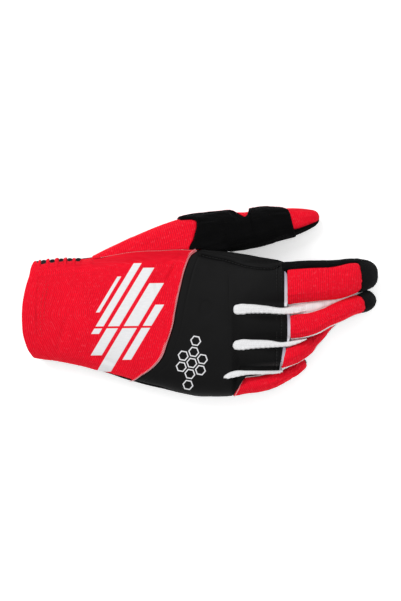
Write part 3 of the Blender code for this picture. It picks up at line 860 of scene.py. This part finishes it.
def material(key):
    """The glove's materials, made once from the colours in the panel."""
    if key not in MATERIALS:
        colours = bpy.context.scene.glove_colours
        sizes = bpy.context.scene.glove_sizes
        red = tuple(colours.knit)
        black = tuple(colours.panel)
        nap = tuple(colours.suede)
        white = tuple(colours.mesh)
        made = {
            "cuff": lambda: red_knit("crimson_knit_printed", red, sizes.rib_pitch, 0.00016, slanted_bars),
            "knit": lambda: red_knit("crimson_knit_ribbed", red, sizes.rib_pitch, 0.00022),
            "back": lambda: black_panel("charcoal_panel_marked", black, grip_cells),
            "panel": lambda: black_panel("charcoal_panel", black),
            "suede": lambda: suede("black_suede", nap),
            "tip": lambda: suede("black_suede_tip", tuple(2.1 * c for c in nap)),
            "mesh": lambda: stretch_mesh("white_mesh", white),
            "trim": lambda: woven_trim("grey_trim", (0.80, 0.79, 0.84, 1.0), (0.30, 0.28, 0.36, 1.0)),
            "pink_thread": lambda: thread("pink_thread", (0.86, 0.42, 0.45)),
            "pale_thread": lambda: thread("pale_thread", (0.88, 0.66, 0.68)),
            "red_thread": lambda: thread("red_thread", (0.62, 0.01, 0.02)),
            "black_thread": lambda: thread("black_thread", (0.006, 0.006, 0.006)),
        }
        MATERIALS[key] = made[key]()
    return MATERIALS[key]


# The pieces


def column(name, source=EDGES):
    """A table's column by station, straight between its rows."""
    return lambda x: np.interp(x, source["x"], source[name])


def by_angle(source, shift=0.0):
    """A table's station by angle, as a smooth curve."""
    return lambda angle: smooth(angle, source["angle"], source["x"]) + shift


def station(value):
    """The same value everywhere."""
    return lambda at: value + 0 * at


def sew(outer, inner, sink):
    """Moves the outer grid along its outward normals by sink, and the inner grid where the cloth sinks."""
    face = outward(outer, inner)
    moved = outer + face * sink[..., None]
    below = inner + face * np.minimum(sink, 0)[..., None]
    moved[..., 2] = np.maximum(moved[..., 2], 0)
    return moved, below


def sewn_piece(name, outer, inner, sink, look, hidden):
    """Sews a panel and makes the piece that stands for the hidden nodes."""
    outer, inner = sew(outer, inner, sink)
    grid_mesh(name, outer, inner, look, hidden)


def gathers(x):
    """The gathered edge: a cosine with ridges at even steps, faded out at the ends of the elastic."""
    span = ease((x + 1.215) / 0.02) * ease((-0.868 - x) / 0.02)
    return np.cos(2 * np.pi * (x + 1.1325) / GATHER_STEP), span


def gathered(x, angle):
    """Turns the cloth round the side on each ridge of the gathered edge, less and less away from the edge."""
    wave, span = gathers(x)
    near = np.clip(1 - (angle - column("back_start")(x)) / GATHER_FADE, 0, 1) ** 2
    beyond = ease((x + 0.888) / 0.012) * ease((-0.785 - x) / 0.035)
    return angle - GATHER_TURN * np.maximum(span * ease((wave - 0.25) / 0.60), beyond) * near


def make_cuff_back():
    """The red back: a ribbed sleeve with a hem, folds, a gathered edge and a welt at the slanting seam."""
    x, angle = solve_panel(
        by_angle(MOUTH), by_angle(BACK_SEAM, -0.05 * MM),
        column("back_start"), column("back_end"), 300, 150,
    )
    wave, span = gathers(x)
    angle = gathered(x, angle)
    x = x + 0.00015 * np.clip(24 - angle, 0, 26) * span
    outer = hand_point(x, angle)
    inner = hand_point(x, angle, 1.2 * MM)
    mouth, seam, thumb_edge, little_edge = reach(outer)
    y = outer[..., 1]
    sink = groove(seam, 0.7, 0.9) + ridge(seam, 1.5 * MM, 0.85 * MM, 0.60 * MM)
    sink += groove(thumb_edge, 0.8, 0.08) * ease((x + 0.80) / 0.05)
    sink += groove(little_edge, 1.2, 0.6)
    beside = 0.0040 * np.clip(angle - column("back_start")(x), 0, None)
    sink += 0.40 * MM * (wave - 0.2) * span * np.exp(-beside / (4.5 * MM))
    sink += groove(beside - 5.5 * MM, 0.7, 0.30) * ease((-0.80 - x) / 0.06)
    sink += groove(beside - 8.5 * MM, 0.7, 0.22) * ease((-0.80 - x) / 0.06)
    sink += groove(mouth - 14.0 * MM, 0.5, 0.35) + 0.15 * MM * ease((14.0 * MM - mouth) / MM)
    sink += groove(mouth, 0.6, 0.5)
    sink += 0.55 * MM * wander(x, y, 0.26, 3) + 0.35 * MM * wander(x, y * 0.45, 0.11, 5)
    sink += 0.14 * MM * wander(x, y, 0.035, 8)
    for px, py, long, wide, turn, depth in FOLDS:
        u, v = fold_place(x, y, px, py, turn)
        sink -= FOLD_SINK * depth * MM * np.exp(-((u / long) ** 2) - ((v / wide) ** 2))
        sink += FOLD_RISE * depth * MM * np.exp(-((u / long) ** 2) - (((v - 1.6 * wide) / wide) ** 2))
    sewn_piece("cuff_back_cloth", outer, inner, sink, "cuff", ["cuff_back"])


# Folds of the red back: place in the plan, half length, half width, turn in degrees and depth in millimetres.
FOLDS = (
    (-0.205, 0.225, 0.085, 0.016, 62, 0.9),
    (-0.250, 0.290, 0.100, 0.014, 20, 0.5),
    (-0.880, 0.170, 0.120, 0.018, 150, 0.5),
    (-0.930, 0.040, 0.160, 0.022, 95, 0.35),
    (-0.700, -0.440, 0.140, 0.020, 160, 0.5),
    (-0.500, 0.290, 0.120, 0.016, 8, 0.7),
    (-1.020, -0.250, 0.150, 0.022, 75, 0.4),
    (-0.600, 0.180, 0.130, 0.020, 128, 0.7),
    (-0.530, 0.120, 0.110, 0.018, 118, 0.5),
    (-0.330, 0.160, 0.120, 0.018, 100, 0.5),
)


def fold_place(x, y, px, py, turn):
    """Distances along and across a fold of the plan."""
    cos, sin = np.cos(np.radians(turn)), np.sin(np.radians(turn))
    return (x - px) * cos + (y - py) * sin, (y - py) * cos - (x - px) * sin


def make_hand_back():
    """The black back: padded between its seams, with knuckle valleys and a line beside the slanting seam."""
    x, angle = solve_panel(
        by_angle(BACK_SEAM, 0.05 * MM), lambda a: np.interp(a, FRONT_EDGE["angle"], FRONT_EDGE["x"]) + 0.002,
        column("back_start"), column("back_end"), 190, 190,
    )
    outer = hand_point(x, angle)
    inner = hand_point(x, angle, 1.2 * MM)
    seam, front, _, little_edge = reach(outer)
    y = outer[..., 1]
    sink = groove(seam, 0.8, 0.9)
    sink += groove(seam - 6.0 * MM, 0.6, 0.30)
    sink += groove(front - 4.6 * MM, 0.45, 0.35) + groove(front - 1.4 * MM, 0.45, 0.35)
    sink += groove(front, 0.6, 0.5)
    sink += groove(little_edge, 1.0, 0.6)
    sink += groove(np.abs(x - 0.215), 0.5, 0.22) * ease((0.20 - y) / 0.05)
    beside = np.abs(angle - smooth(x, ROLL_EDGE["x"], ROLL_EDGE["angle"]) - 1.0)
    sink -= 0.9 * MM * np.exp(-((beside / 2.2) ** 2)) * ease((x + 0.02) / 0.04)
    sink += 0.35 * MM * wander(x, y, 0.20, 11) + 0.12 * MM * wander(x, y, 0.06, 12)
    spot = np.sqrt(((x - 0.045) / 0.050) ** 2 + ((y + 0.055) / 0.065) ** 2)
    sink -= 0.25 * MM * ease((1.1 - spot) / 0.25)
    sewn_piece("hand_back_cloth", outer, inner, sink, "back", ["hand_back"])


def make_palm():
    """The suede palm and the black elastic of the cuff below the wrist, gathered in even ribs."""
    x, angle = solve_panel(
        station(CUFF_JOIN + 0.002), station(FRONT + 0.010),
        column("palm_start"), lambda x: np.where(x < -0.6, 314.0, column("palm_end")(x)), 130, 120,
    )
    outer = hand_point(x, angle)
    inner = hand_point(x, angle, 1.4 * MM)
    first, last, low, high = reach(outer)
    sink = grooves((first, 0.8, 0.6), (low, 1.0, 0.7), (high, 1.0, 0.5), (last, 1.0, 0.6))
    sink += 0.35 * MM * wander(x, outer[..., 1], 0.12, 21)
    sewn_piece("palm_suede", outer, inner, sink, "suede", ["palm"])
    x, angle = solve_panel(
        by_angle(MOUTH, 0.003), station(CUFF_JOIN), column("palm_start"),
        lambda x: column("palm_end")(x * 0 - 1.2), 190, 170,
    )
    under = ease((angle - 362) / 12)
    outer = hand_point(x, angle, (0.3 + 1.0 * under) * MM)
    inner = hand_point(x, angle, (1.5 + 1.0 * under) * MM)
    _, last, low, _ = reach(outer)
    wave, span = gathers(x)
    sink = -0.40 * MM * wave * span * (1 - under) + groove(low, 1.0, 0.5)
    sink += groove(last, 0.9, 0.5) + 0.25 * MM * wander(x, angle / 60, 0.1, 23)
    sewn_piece("cuff_elastic", outer, inner, sink, "panel", ["cuff_palm"])


def attach(outer, inner, distance, edge, line, width):
    """Draws one edge of a panel onto a line of points, and the cloth beside it by an ease over the width."""
    shift = ease(1 - distance / width)[..., None] * (line - edge)
    return outer + shift, inner + shift


def thumb_grid(start, end, low, high, rows, columns, depth, lift, nose=False):
    x, angle = solve_panel(start, end, low, high, rows, columns, nose)
    way = way_at("thumb", x)
    outer = finger_point("thumb", way, angle, depth[0], lift, THUMB_CUT - 90)
    inner = finger_point("thumb", way, angle, depth[1], lift, THUMB_CUT - 90)
    return x, angle, outer, inner


def make_thumb():
    """The thumb: a red gusset and back, a suede palm, and a suede cover with a window at its outer edge."""
    tip = FINGERS["thumb"]["x"][-1]
    edge = lambda name: column(name, THUMB_EDGES)
    x, angle, outer, inner = thumb_grid(
        station(CUFF_JOIN - 0.014), by_angle(GUSSET_END, 0.05 * MM),
        edge("under"), edge("top"), 150, 120, (0.0, 1.2 * MM), 0.0,
    )
    first, last, low, high = reach(outer)
    seam = hand_point(x[:, -1], column("back_start")(x[:, -1]))
    outer, inner = attach(outer, inner, high, outer[:, -1:], seam[:, None], 12 * MM)
    seam = hand_point(x[:, 0], column("palm_end")(np.maximum(x[:, 0], -0.675)))
    outer, inner = attach(outer, inner, low, outer[:, :1], seam[:, None], 9 * MM)
    sink = grooves((high, 0.8, 0.08), (last, 0.7, 0.5), (first, 0.8, 0.5))
    sink += 0.45 * MM * wander(x, angle / 90, 0.18, 31) + 0.15 * MM * wander(x, angle / 90, 0.05, 32)
    sewn_piece("thumb_gusset_cloth", outer, inner, sink, "knit", ["thumb_gusset"])

    x, angle, outer, inner = thumb_grid(
        by_angle(GUSSET_END, 0.4 * MM), station(tip), station(THUMB_CUT - 180), edge("back_high"),
        120, 90, (0.0, 1.2 * MM), 0.05 * MM, True,
    )
    _, last, low, high = reach(outer)
    sink = groove(low, 0.8, 0.6) + groove(high, 0.8, 0.6)
    sink += 0.15 * MM * wander(x, angle / 90, 0.08, 33)
    sewn_piece("thumb_back_cloth", outer, inner, sink * ease(last / (4 * MM)), "knit", ["thumb_back"])

    x, angle, outer, inner = thumb_grid(
        lambda a: np.interp(a, PALM_BEGIN["angle"], PALM_BEGIN["x"]), station(tip),
        edge("palm_low"), station(THUMB_CUT + 180), 120, 90, (0.0, 1.3 * MM), -0.05 * MM, True,
    )
    _, last, low, high = reach(outer)
    sink = groove(low, 0.7, 0.3) + groove(high, 0.8, 0.5)
    sink += 0.18 * MM * wander(x, angle / 90, 0.05, 34)
    sewn_piece("thumb_palm_suede", outer, inner, sink * ease(last / (4 * MM)), "suede", ["thumb_palm"])

    x, angle, outer, inner = thumb_grid(
        by_angle(GUSSET_END, 0.2 * MM), by_angle(COVER_END),
        column("low", COVER_EDGE), edge("top"), 200, 150, (-1.7 * MM, -0.4 * MM), 0.2 * MM,
    )
    first, last, low, high = reach(outer)
    seam = hand_point(x[:, -1], column("back_start")(x[:, -1]), -0.3 * MM)
    fade = ease((0.20 - x[:, -1]) / 0.06)[:, None, None]
    border = outer[:, -1:]
    outer, inner = attach(outer, inner, high, border, border + fade * (seam[:, None] - border), 9 * MM)
    nearest = np.minimum(np.minimum(first, last), np.minimum(low, high))
    sink = groove(nearest, 0.8, 1.0) + groove(np.abs(nearest - 2.2 * MM), 0.45, 0.35)
    sink += 0.40 * MM * wander(x, angle / 90, 0.12, 35) + 0.16 * MM * wander(x, angle / 90, 0.035, 36)
    sewn_piece("thumb_cover_suede", outer, inner, sink, "suede", ["thumb_cover"])


def strip_width(way, turn):
    """Degrees that a side strip takes: it narrows along the finger by a power and closes over the nose."""
    return turn * np.sqrt(np.clip((STRIP_END - way) / 0.05, 0, 1)) * (1 - 0.62 * np.clip(way, 0, 1) ** 0.6)


def root_begin(name, angle, part):
    """Where the finger's cloth starts, from its thumb side's station to its little side's by a cosine."""
    thumb_side, little_side = (float(way_at(name, x)) for x in FINGER_PLAN[name][part])
    return little_side + (thumb_side - little_side) * 0.5 * (1 + np.cos(np.radians(angle)))


def finger_grid(name, ways, low, high, rows, columns, depth, lift, part="back_root"):
    along, around = shares(rows, columns, ways[1] == 1.0)
    way = ways[0] + (ways[1] - ways[0]) * along
    angle = low(way) + (high(way) - low(way)) * around
    if ways[0] == 0:
        begin = root_begin(name, angle, part)
        way = begin + (ways[1] - begin) * along
    facing = 0.5 * (FINGER_PLAN[name]["low"] + FINGER_PLAN[name]["high"])
    outer = finger_point(name, way, angle, depth[0], lift, facing)
    inner = finger_point(name, way, angle, depth[1], lift, facing)
    return way, angle, outer, inner


def make_finger(name):
    """One finger: a ribbed red back, a suede tip and palm, and white strips at its sides."""
    plan = FINGER_PLAN[name]
    thumb_seam, little_seam = plan["low"], plan["high"]
    cap = float(way_at(name, plan["cap"]))
    climb = lambda way: thumb_seam - plan["rise"] * ease((way - 0.40) / 0.35)
    low = lambda way: climb(way) + strip_width(way, plan["thumb_strip"])
    high = lambda way: little_seam - strip_width(way, plan["little_strip"])
    seed = 40 + 10 * sorted(FINGER_PLAN).index(name)

    way, angle, outer, inner = finger_grid(name, (0.0, cap), low, high, 130, 80, (0.0, 1.2 * MM), 0.03 * MM)
    first, last, left, right = reach(outer)
    sink = grooves((left, 0.8, 0.7), (right, 0.8, 0.7), (last, 0.6, 0.5), (first, 0.6, 0.4))
    sink += 0.22 * MM * wander(way * 0.8, angle / 90, 0.10, seed) - 0.35 * MM * bend_lines(way, angle)
    sink += 0.30 * MM * wander(way, angle / 60, 0.16, seed + 5)
    sewn_piece(name + "_back_cloth", outer, inner, sink, "knit", [name + "_back"])

    way, angle, outer, inner = finger_grid(name, (cap, 1.0), low, high, 50, 80, (0.0, 1.2 * MM), 0.03 * MM)
    first, last, _, _ = reach(outer)
    sink = groove(first, 0.6, 0.5) + 0.12 * MM * wander(way, angle / 90, 0.05, seed + 1)
    sewn_piece(name + "_tip_suede", outer, inner, sink * ease(last / (3 * MM)), "tip", [name + "_tip"])

    way, angle, outer, inner = finger_grid(
        name, (0.0, 1.0), station(little_seam), lambda way: 360 + climb(way),
        150, 80, (0.0, 1.3 * MM), -0.03 * MM, "palm_root",
    )
    _, last, left, right = reach(outer)
    sink = groove(left, 0.8, 0.5) + groove(right, 0.8, 0.5)
    sink += 0.20 * MM * wander(way, angle / 90, 0.06, seed + 2)
    sewn_piece(name + "_palm_suede", outer, inner, sink * ease(last / (3 * MM)), "suede", [name + "_palm"])

    strips = {
        "thumb_strip": ("_fourchette_thumb_side", climb, low),
        "little_strip": ("_fourchette_little_side", high, station(little_seam)),
    }
    for key, (ending, begin, end) in strips.items():
        if not plan[key]:
            continue
        way, angle, outer, inner = finger_grid(
            name, (0.0, STRIP_END - 0.004), begin, end, 120, 16, (0.0, 1.0 * MM), 0.03 * MM,
        )
        first, _, left, right = reach(outer)
        sink = 0.25 * MM * np.sin(2 * np.pi * first / (3.1 * MM) + 1.5 * wander(way, angle, 0.2, seed + 3))
        sink = sink * np.exp(-np.minimum(left, right) / (1.5 * MM)) + groove(left, 0.5, 0.5)
        sink += groove(right, 0.5, 0.5)
        sewn_piece(name + ending + "_mesh", outer, inner, sink, "mesh", [name + ending])


def bend_lines(way, angle):
    """Shallow creases across a finger's back at its bends: bells along its length, fading to the sides."""
    middle = np.exp(-(((angle - 95) / 60) ** 2))
    crease = sum(np.exp(-(((way - place) / 0.010) ** 2)) for place in (0.40, 0.44, 0.72))
    return middle * crease


def make_gusset(name):
    """A white gusset: a puffed strip in its valley, rippled at its edges, running on between the fingers."""
    rows = GUSSETS[name]
    along, across = np.meshgrid(np.linspace(0, 1, 181), np.linspace(-1, 1, 33), indexing="ij")
    x = rows["x"][0] + (rows["x"][-1] - rows["x"][0]) * along
    middle = smooth(x, rows["x"], rows["y"])
    half = smooth(x, rows["x"], rows["half_width"])
    seed = 70 + len(name)
    ripple = np.sin(2 * np.pi * x / 0.038 + 2.8 * wander(x, 0 * x, 0.07, seed))
    y = middle + half * across * (1 + 0.05 * ripple * (across < 0) + 0.03 * wander(x, across, 0.08, seed + 2))
    on_back = np.minimum(x, FRONT)
    edge = np.maximum(back_height(on_back, middle + half), back_height(on_back, middle - half))
    base = np.maximum(edge, back_height(on_back, y)) - 0.55 * np.clip(x - FRONT, 0, 1) ** 2
    low = base - 0.6 * MM
    puff = np.sqrt(np.clip(1 - across**2, 0, 1))
    wave = 0.20 * MM * ripple * np.exp(-(((across + 0.75) / 0.35) ** 2))
    rim = 0.25 * MM * np.exp(-(((np.abs(across) - 0.72) / 0.14) ** 2))
    high = base + (0.20 + 1.25 * puff) * MM + rim + wave * puff
    high += 0.22 * MM * wander(x, y, 0.022, seed + 1) * puff
    end = ease(np.minimum(along, 1 - along) / 0.03)
    high = low + (high - low) * (0.15 + 0.85 * end)
    outer, inner = (np.stack([x, y, z], axis=-1) for z in (high, low))
    grid_mesh(name + "_mesh", outer, inner, "mesh", [name])


def make_webs():
    """The cloth between neighbouring fingers' roots, and the upright wall by the ring finger."""
    for upper, lower, end in (("index", "middle", 1.225), ("middle", "ring", 0.830)):
        along, around = np.meshgrid(np.linspace(0, 1, 41), np.linspace(0, 2 * np.pi, 49), indexing="ij")
        x = FRONT - 0.01 + (end - FRONT + 0.01) * along
        a, wide_a, high_a = middle_line(upper, way_at(upper, x))
        b, wide_b, high_b = middle_line(lower, way_at(lower, x))
        near = a[..., 1] - wide_a + 0.012
        far = b[..., 1] + wide_b - 0.012
        top = np.minimum(a[..., 2], b[..., 2]) + 0.062 - 0.030 * along
        bottom = np.maximum(a[..., 2] - 0.7 * high_a, b[..., 2] - 0.7 * high_b) + 0.03 * along
        across, up = rounding(np.degrees(around))
        shrink = np.sqrt(np.clip(1 - along**6, 0, 1))
        y = 0.5 * (near + far) + 0.5 * (near - far) * across
        z = 0.5 * (top + bottom) + 0.5 * (top - bottom) * up * shrink
        web_mesh("web_" + upper + "_" + lower, np.stack([x, y, z], -1))
    along, down = np.meshgrid(np.linspace(0, 1, 61), np.linspace(0.02, 0.98, 31), indexing="ij")
    x = 0.335 + (FRONT - 0.335) * along
    upper = hand_point(x, column("back_end")(x))
    lower = hand_point(x, column("palm_start")(x))
    face = upper + (lower - upper) * down[..., None]
    face[..., 1] -= 0.010 * np.sin(np.pi * down)
    behind = face + np.array([0, 1.2 * MM, 0])
    grid_mesh("ring_side_mesh", face, behind, "mesh", ["ring_side_gusset"])


def web_mesh(name, tube):
    """A closed wedge from a tube of rings: its first and last rings are filled."""
    rows, columns = tube.shape[0], tube.shape[1] - 1
    points = to_metres(tube[:, :-1].reshape(-1, 3))
    number = np.arange(rows * columns).reshape(rows, columns)
    after = np.roll(number, -1, axis=1)
    quads = np.stack([number[:-1], number[1:], after[1:], after[:-1]], axis=-1).reshape(-1, 4)
    data = bpy.data.meshes.new(name)
    data.from_pydata(points, [], quads.tolist() + [number[0, ::-1].tolist(), number[-1].tolist()])
    layer = data.uv_layers.new(name="cloth")
    corner = np.zeros(len(data.loops), int)
    data.loops.foreach_get("vertex_index", corner)
    layer.data.foreach_set("uv", points[corner][:, [0, 2]].astype(np.float32).reshape(-1))
    face_out(data)
    place(name, data, "mesh")


def make_trims():
    """The woven trims at the finger roots and the rolled seam beside the index finger."""
    for finger, (first, last) in {"index": (35, 77), "middle": (83, 103), "ring": (105.5, 137)}.items():
        edge = lambda a, key="x": np.interp(a, FRONT_EDGE["angle"], FRONT_EDGE[key])
        x, angle = solve_panel(
            lambda a: edge(a) + 0.001, lambda a: edge(a) + 0.003 + edge(a, "trim"),
            station(first), station(last), 14, 80,
        )
        outer = hand_point(np.minimum(x, 0.6225), angle, -0.10 * MM)
        inner = hand_point(np.minimum(x, 0.6225), angle, 1.2 * MM)
        outer[..., 0] = x
        inner[..., 0] = x
        start, end, _, _ = reach(outer)
        sink = groove(start, 0.4, 0.4) + groove(end, 0.4, 0.4)
        sewn_piece(finger + "_knuckle_weave", outer, inner, sink, "trim", [finger + "_knuckle_trim"])
    along, across = np.meshgrid(np.linspace(0, 1, 161), np.linspace(0, 1, 41), indexing="ij")
    x = ROLL_EDGE["x"][0] + (ROLL_EDGE["x"][-1] - ROLL_EDGE["x"][0]) * along
    low = column("back_start")(x) + 1.0
    high = smooth(x, ROLL_EDGE["x"], ROLL_EDGE["angle"])
    angle = low + (high - low) * across
    end = ease(np.minimum(along, 1 - along) / 0.045)
    puff = (0.10 + 2.20 * np.sin(np.pi * across) ** 0.45 * (0.10 + 0.90 * end)) * MM
    puff -= 0.6 * MM * np.exp(-(((across - 0.70) / 0.06) ** 2)) * end
    puff += 0.12 * MM * wander(x, across, 0.05, 61)
    outer, inner = hand_point(x, angle, -puff), hand_point(x, angle, 0.5 * MM)
    grid_mesh("back_roll_cloth", outer, inner, "panel", ["back_roll"])


def on_hand(start, shift):
    """Points of the hand's tube by angle and depth, at a shift in millimetres from a curve of stations."""
    return lambda angle, depth: hand_point(start(angle) + shift * MM, angle, depth)


def make_stitches():
    """Overlock and edge of the slanting seam, twin rows at hem and knuckles, and rows on three other seams.

    A row has its points by value and depth, its values, its height above the cloth, and its stitches' pitch,
    length, radius, lean and thread. Heights and sizes are in millimetres.
    """
    slant, hem, front = np.linspace(24, 176, 300), np.linspace(24, 174, 260), np.linspace(16, 133, 220)
    seam, mouth, knuckle = by_angle(BACK_SEAM), by_angle(MOUTH), station(FRONT)
    gusset = lambda x, depth: hand_point(x, column("back_start")(x) + 1.0, depth)
    roll = lambda x, depth: hand_point(x, smooth(x, ROLL_EDGE["x"], ROLL_EDGE["angle"]) + 1.5, depth)
    begin = float(way_at("index", 0.668))
    root = lambda angle, depth: finger_point("index", begin + 0 * angle, angle, depth)
    rows = (
        ("slant_seam_overlock", on_hand(seam, -1.3), slant, 0.42, 1.15, 2.2, 0.26, 0.78, "pink_thread"),
        ("slant_seam_edge", on_hand(seam, -0.35), slant, -0.25, 1.2, 0.95, 0.22, 0.0, "pale_thread"),
        ("cuff_hem_near", on_hand(mouth, 13.4), hem, -0.12, 2.4, 1.7, 0.15, 0.0, "red_thread"),
        ("cuff_hem_far", on_hand(mouth, 16.0), hem, -0.12, 2.4, 1.7, 0.15, 0.0, "red_thread"),
        ("knuckle_seam_near", on_hand(knuckle, -4.6), front, -0.10, 2.3, 1.6, 0.15, 0.0, "black_thread"),
        ("knuckle_seam_far", on_hand(knuckle, -1.4), front, -0.10, 2.3, 1.6, 0.15, 0.0, "black_thread"),
        ("gusset_seam", gusset, np.linspace(-0.74, -0.05, 240), 0.12, 1.5, 1.1, 0.13, 0.0, "pink_thread"),
        ("index_root_seam", root, np.linspace(58, 138, 120), 0.05, 2.2, 1.5, 0.15, 0.0, "red_thread"),
        ("roll_seam", roll, np.linspace(-0.01, 0.60, 200), 0.1, 2.3, 1.6, 0.15, 0.0, "black_thread"),
    )
    for name, points_of, values, lift, *stitch in rows:
        line = points_of(values, 0.0)
        face = points_of(values, -1.0 * MM) - line
        face /= np.maximum(np.linalg.norm(face, axis=-1, keepdims=True), 1e-9)
        stitch_row(name, line + face * (lift * MM), face, *stitch)


def make_little_piping():
    """A pale corded edge along the little finger's root: short stitches that lean across the seam."""
    angle = np.linspace(18, 176, 60)
    way = root_begin("little", angle, "back_root") + 0.012
    line = finger_point("little", way, angle, -0.10 * MM)
    face = finger_point("little", way, angle, -1.0 * MM) - line
    stitch_row("little_seam_piping", line, face, 1.1, 1.35, 0.22, 0.35, "pink_thread")


# Settings, operators and panel


class GloveSizes(bpy.types.PropertyGroup):
    """Sizes a user would change."""

    rib_pitch: bpy.props.FloatProperty(
        name="Rib pitch", description="Distance between the knit's ribs", default=0.0015, unit="LENGTH"
    )
    camera_distance: bpy.props.FloatProperty(
        name="Camera distance", description="Height of the camera above the floor", default=2.6, unit="LENGTH"
    )
    picture_height: bpy.props.FloatProperty(
        name="Picture height", description="Height of the floor that the picture shows",
        default=0.4327, unit="LENGTH",
    )


class GloveColours(bpy.types.PropertyGroup):
    """Colours a user would change."""

    knit: bpy.props.FloatVectorProperty(
        name="Knit", description="Red knit", default=(0.83, 0.0055, 0.022), subtype="COLOR", min=0, max=1
    )
    panel: bpy.props.FloatVectorProperty(
        name="Panel", description="Black stretch cloth",
        default=(0.0047, 0.0047, 0.0049), subtype="COLOR", min=0, max=1,
    )
    suede: bpy.props.FloatVectorProperty(
        name="Suede", description="Black suede",
        default=(0.0026, 0.0026, 0.0027), subtype="COLOR", min=0, max=1,
    )
    mesh: bpy.props.FloatVectorProperty(
        name="Mesh", description="White stretch mesh",
        default=(0.85, 0.85, 0.86), subtype="COLOR", min=0, max=1,
    )


class GLOVE_OT_stage(bpy.types.Operator):
    """Lay a pale floor, soft lights and the camera straight above the glove"""

    bl_idname = "glove.stage"
    bl_label = "Stage"

    def execute(self, context):
        sizes = context.scene.glove_sizes
        half = 2.5
        data = bpy.data.meshes.new("floor")
        corners = ((-half, -half), (half, -half), (half, half), (-half, half))
        data.from_pydata([(x, y, -0.0002) for x, y in corners], [], [(0, 1, 2, 3)])
        data.materials.append(studio_paper("studio_paper"))
        floor = bpy.data.objects.new("floor", data)
        context.scene.collection.objects.link(floor)
        lamps = (
            ("key_light", (-1.0, 1.2, 1.6), 1.1, 24.0),
            ("fill_light", (1.2, -0.9, 1.5), 1.8, 8.0),
            ("top_light", (0.0, 0.1, 2.2), 2.4, 13.0),
        )
        for name, spot, size, power in lamps:
            light = bpy.data.lights.new(name, "AREA")
            light.size = size
            light.energy = power
            lamp = bpy.data.objects.new(name, light)
            lamp.location = spot
            away = -np.array(spot)
            tilt = np.arctan2(np.hypot(away[0], away[1]), -away[2])
            lamp.rotation_euler = (float(tilt), 0.0, float(np.arctan2(away[1], away[0]) - np.pi / 2))
            context.scene.collection.objects.link(lamp)
        world = bpy.data.worlds.new("studio")
        world.use_nodes = True
        background = world.node_tree.nodes["Background"].inputs
        background["Color"].default_value = (1.0, 1.0, 1.0, 1.0)
        background["Strength"].default_value = 0.42
        context.scene.world = world
        context.scene.view_settings.view_transform = "Standard"
        camera = bpy.data.cameras.new("camera")
        camera.sensor_width = 36.0
        camera.lens = 36.0 * sizes.camera_distance / sizes.picture_height
        camera.clip_end = 20.0
        view = bpy.data.objects.new("camera", camera)
        view.location = (0.00036 + float(ORIGIN[0]), 0.00036 + float(ORIGIN[1]), sizes.camera_distance)
        context.scene.collection.objects.link(view)
        context.scene.camera = view
        return {"FINISHED"}


class GLOVE_OT_back(bpy.types.Operator):
    """Build the red and black panels of the back"""

    bl_idname = "glove.back"
    bl_label = "Back"

    def execute(self, context):
        make_cuff_back()
        make_hand_back()
        return {"FINISHED"}


class GLOVE_OT_palm(bpy.types.Operator):
    """Build the suede palm and the cuff's elastic"""

    bl_idname = "glove.palm"
    bl_label = "Palm"

    def execute(self, context):
        make_palm()
        return {"FINISHED"}


class GLOVE_OT_thumb(bpy.types.Operator):
    """Build the thumb's gusset, back, palm and cover"""

    bl_idname = "glove.thumb"
    bl_label = "Thumb"

    def execute(self, context):
        make_thumb()
        return {"FINISHED"}


class GLOVE_OT_fingers(bpy.types.Operator):
    """Build the four curled fingers"""

    bl_idname = "glove.fingers"
    bl_label = "Fingers"

    def execute(self, context):
        for name in FINGER_PLAN:
            make_finger(name)
        return {"FINISHED"}


class GLOVE_OT_gussets(bpy.types.Operator):
    """Lay the white gussets and the webs between the fingers"""

    bl_idname = "glove.gussets"
    bl_label = "Gussets"

    def execute(self, context):
        for name in GUSSETS:
            make_gusset(name)
        make_webs()
        return {"FINISHED"}


class GLOVE_OT_trims(bpy.types.Operator):
    """Add the knuckle trims and the rolled seam"""

    bl_idname = "glove.trims"
    bl_label = "Trims"

    def execute(self, context):
        make_trims()
        return {"FINISHED"}


class GLOVE_OT_stitches(bpy.types.Operator):
    """Sew the visible stitch rows"""

    bl_idname = "glove.stitches"
    bl_label = "Stitches"

    def execute(self, context):
        make_stitches()
        make_little_piping()
        return {"FINISHED"}


OPERATORS = (
    GLOVE_OT_stage, GLOVE_OT_back, GLOVE_OT_palm, GLOVE_OT_thumb,
    GLOVE_OT_fingers, GLOVE_OT_gussets, GLOVE_OT_trims, GLOVE_OT_stitches,
)


class GLOVE_PT_panel(bpy.types.Panel):
    """Sizes, colours and the steps that build the glove"""

    bl_idname = "GLOVE_PT_panel"
    bl_label = "Motocross glove"
    bl_space_type = "VIEW_3D"
    bl_region_type = "UI"
    bl_category = "Glove"

    def draw(self, context):
        for group in (context.scene.glove_sizes, context.scene.glove_colours):
            for name in group.__annotations__:
                self.layout.prop(group, name)
        for operator in OPERATORS:
            self.layout.operator(operator.bl_idname)


CLASSES = (GloveSizes, GloveColours, *OPERATORS, GLOVE_PT_panel)


def register():
    for made in CLASSES:
        bpy.utils.register_class(made)
    bpy.types.Scene.glove_sizes = bpy.props.PointerProperty(type=GloveSizes)
    bpy.types.Scene.glove_colours = bpy.props.PointerProperty(type=GloveColours)


def unregister():
    del bpy.types.Scene.glove_colours
    del bpy.types.Scene.glove_sizes
    for made in reversed(CLASSES):
        bpy.utils.unregister_class(made)


def main():
    register()
    bpy.ops.glove.stage()
    bpy.ops.glove.back()
    bpy.ops.glove.palm()
    bpy.ops.glove.thumb()
    bpy.ops.glove.fingers()
    bpy.ops.glove.gussets()
    bpy.ops.glove.trims()
    bpy.ops.glove.stitches()


if __name__ == "__main__":
    main()
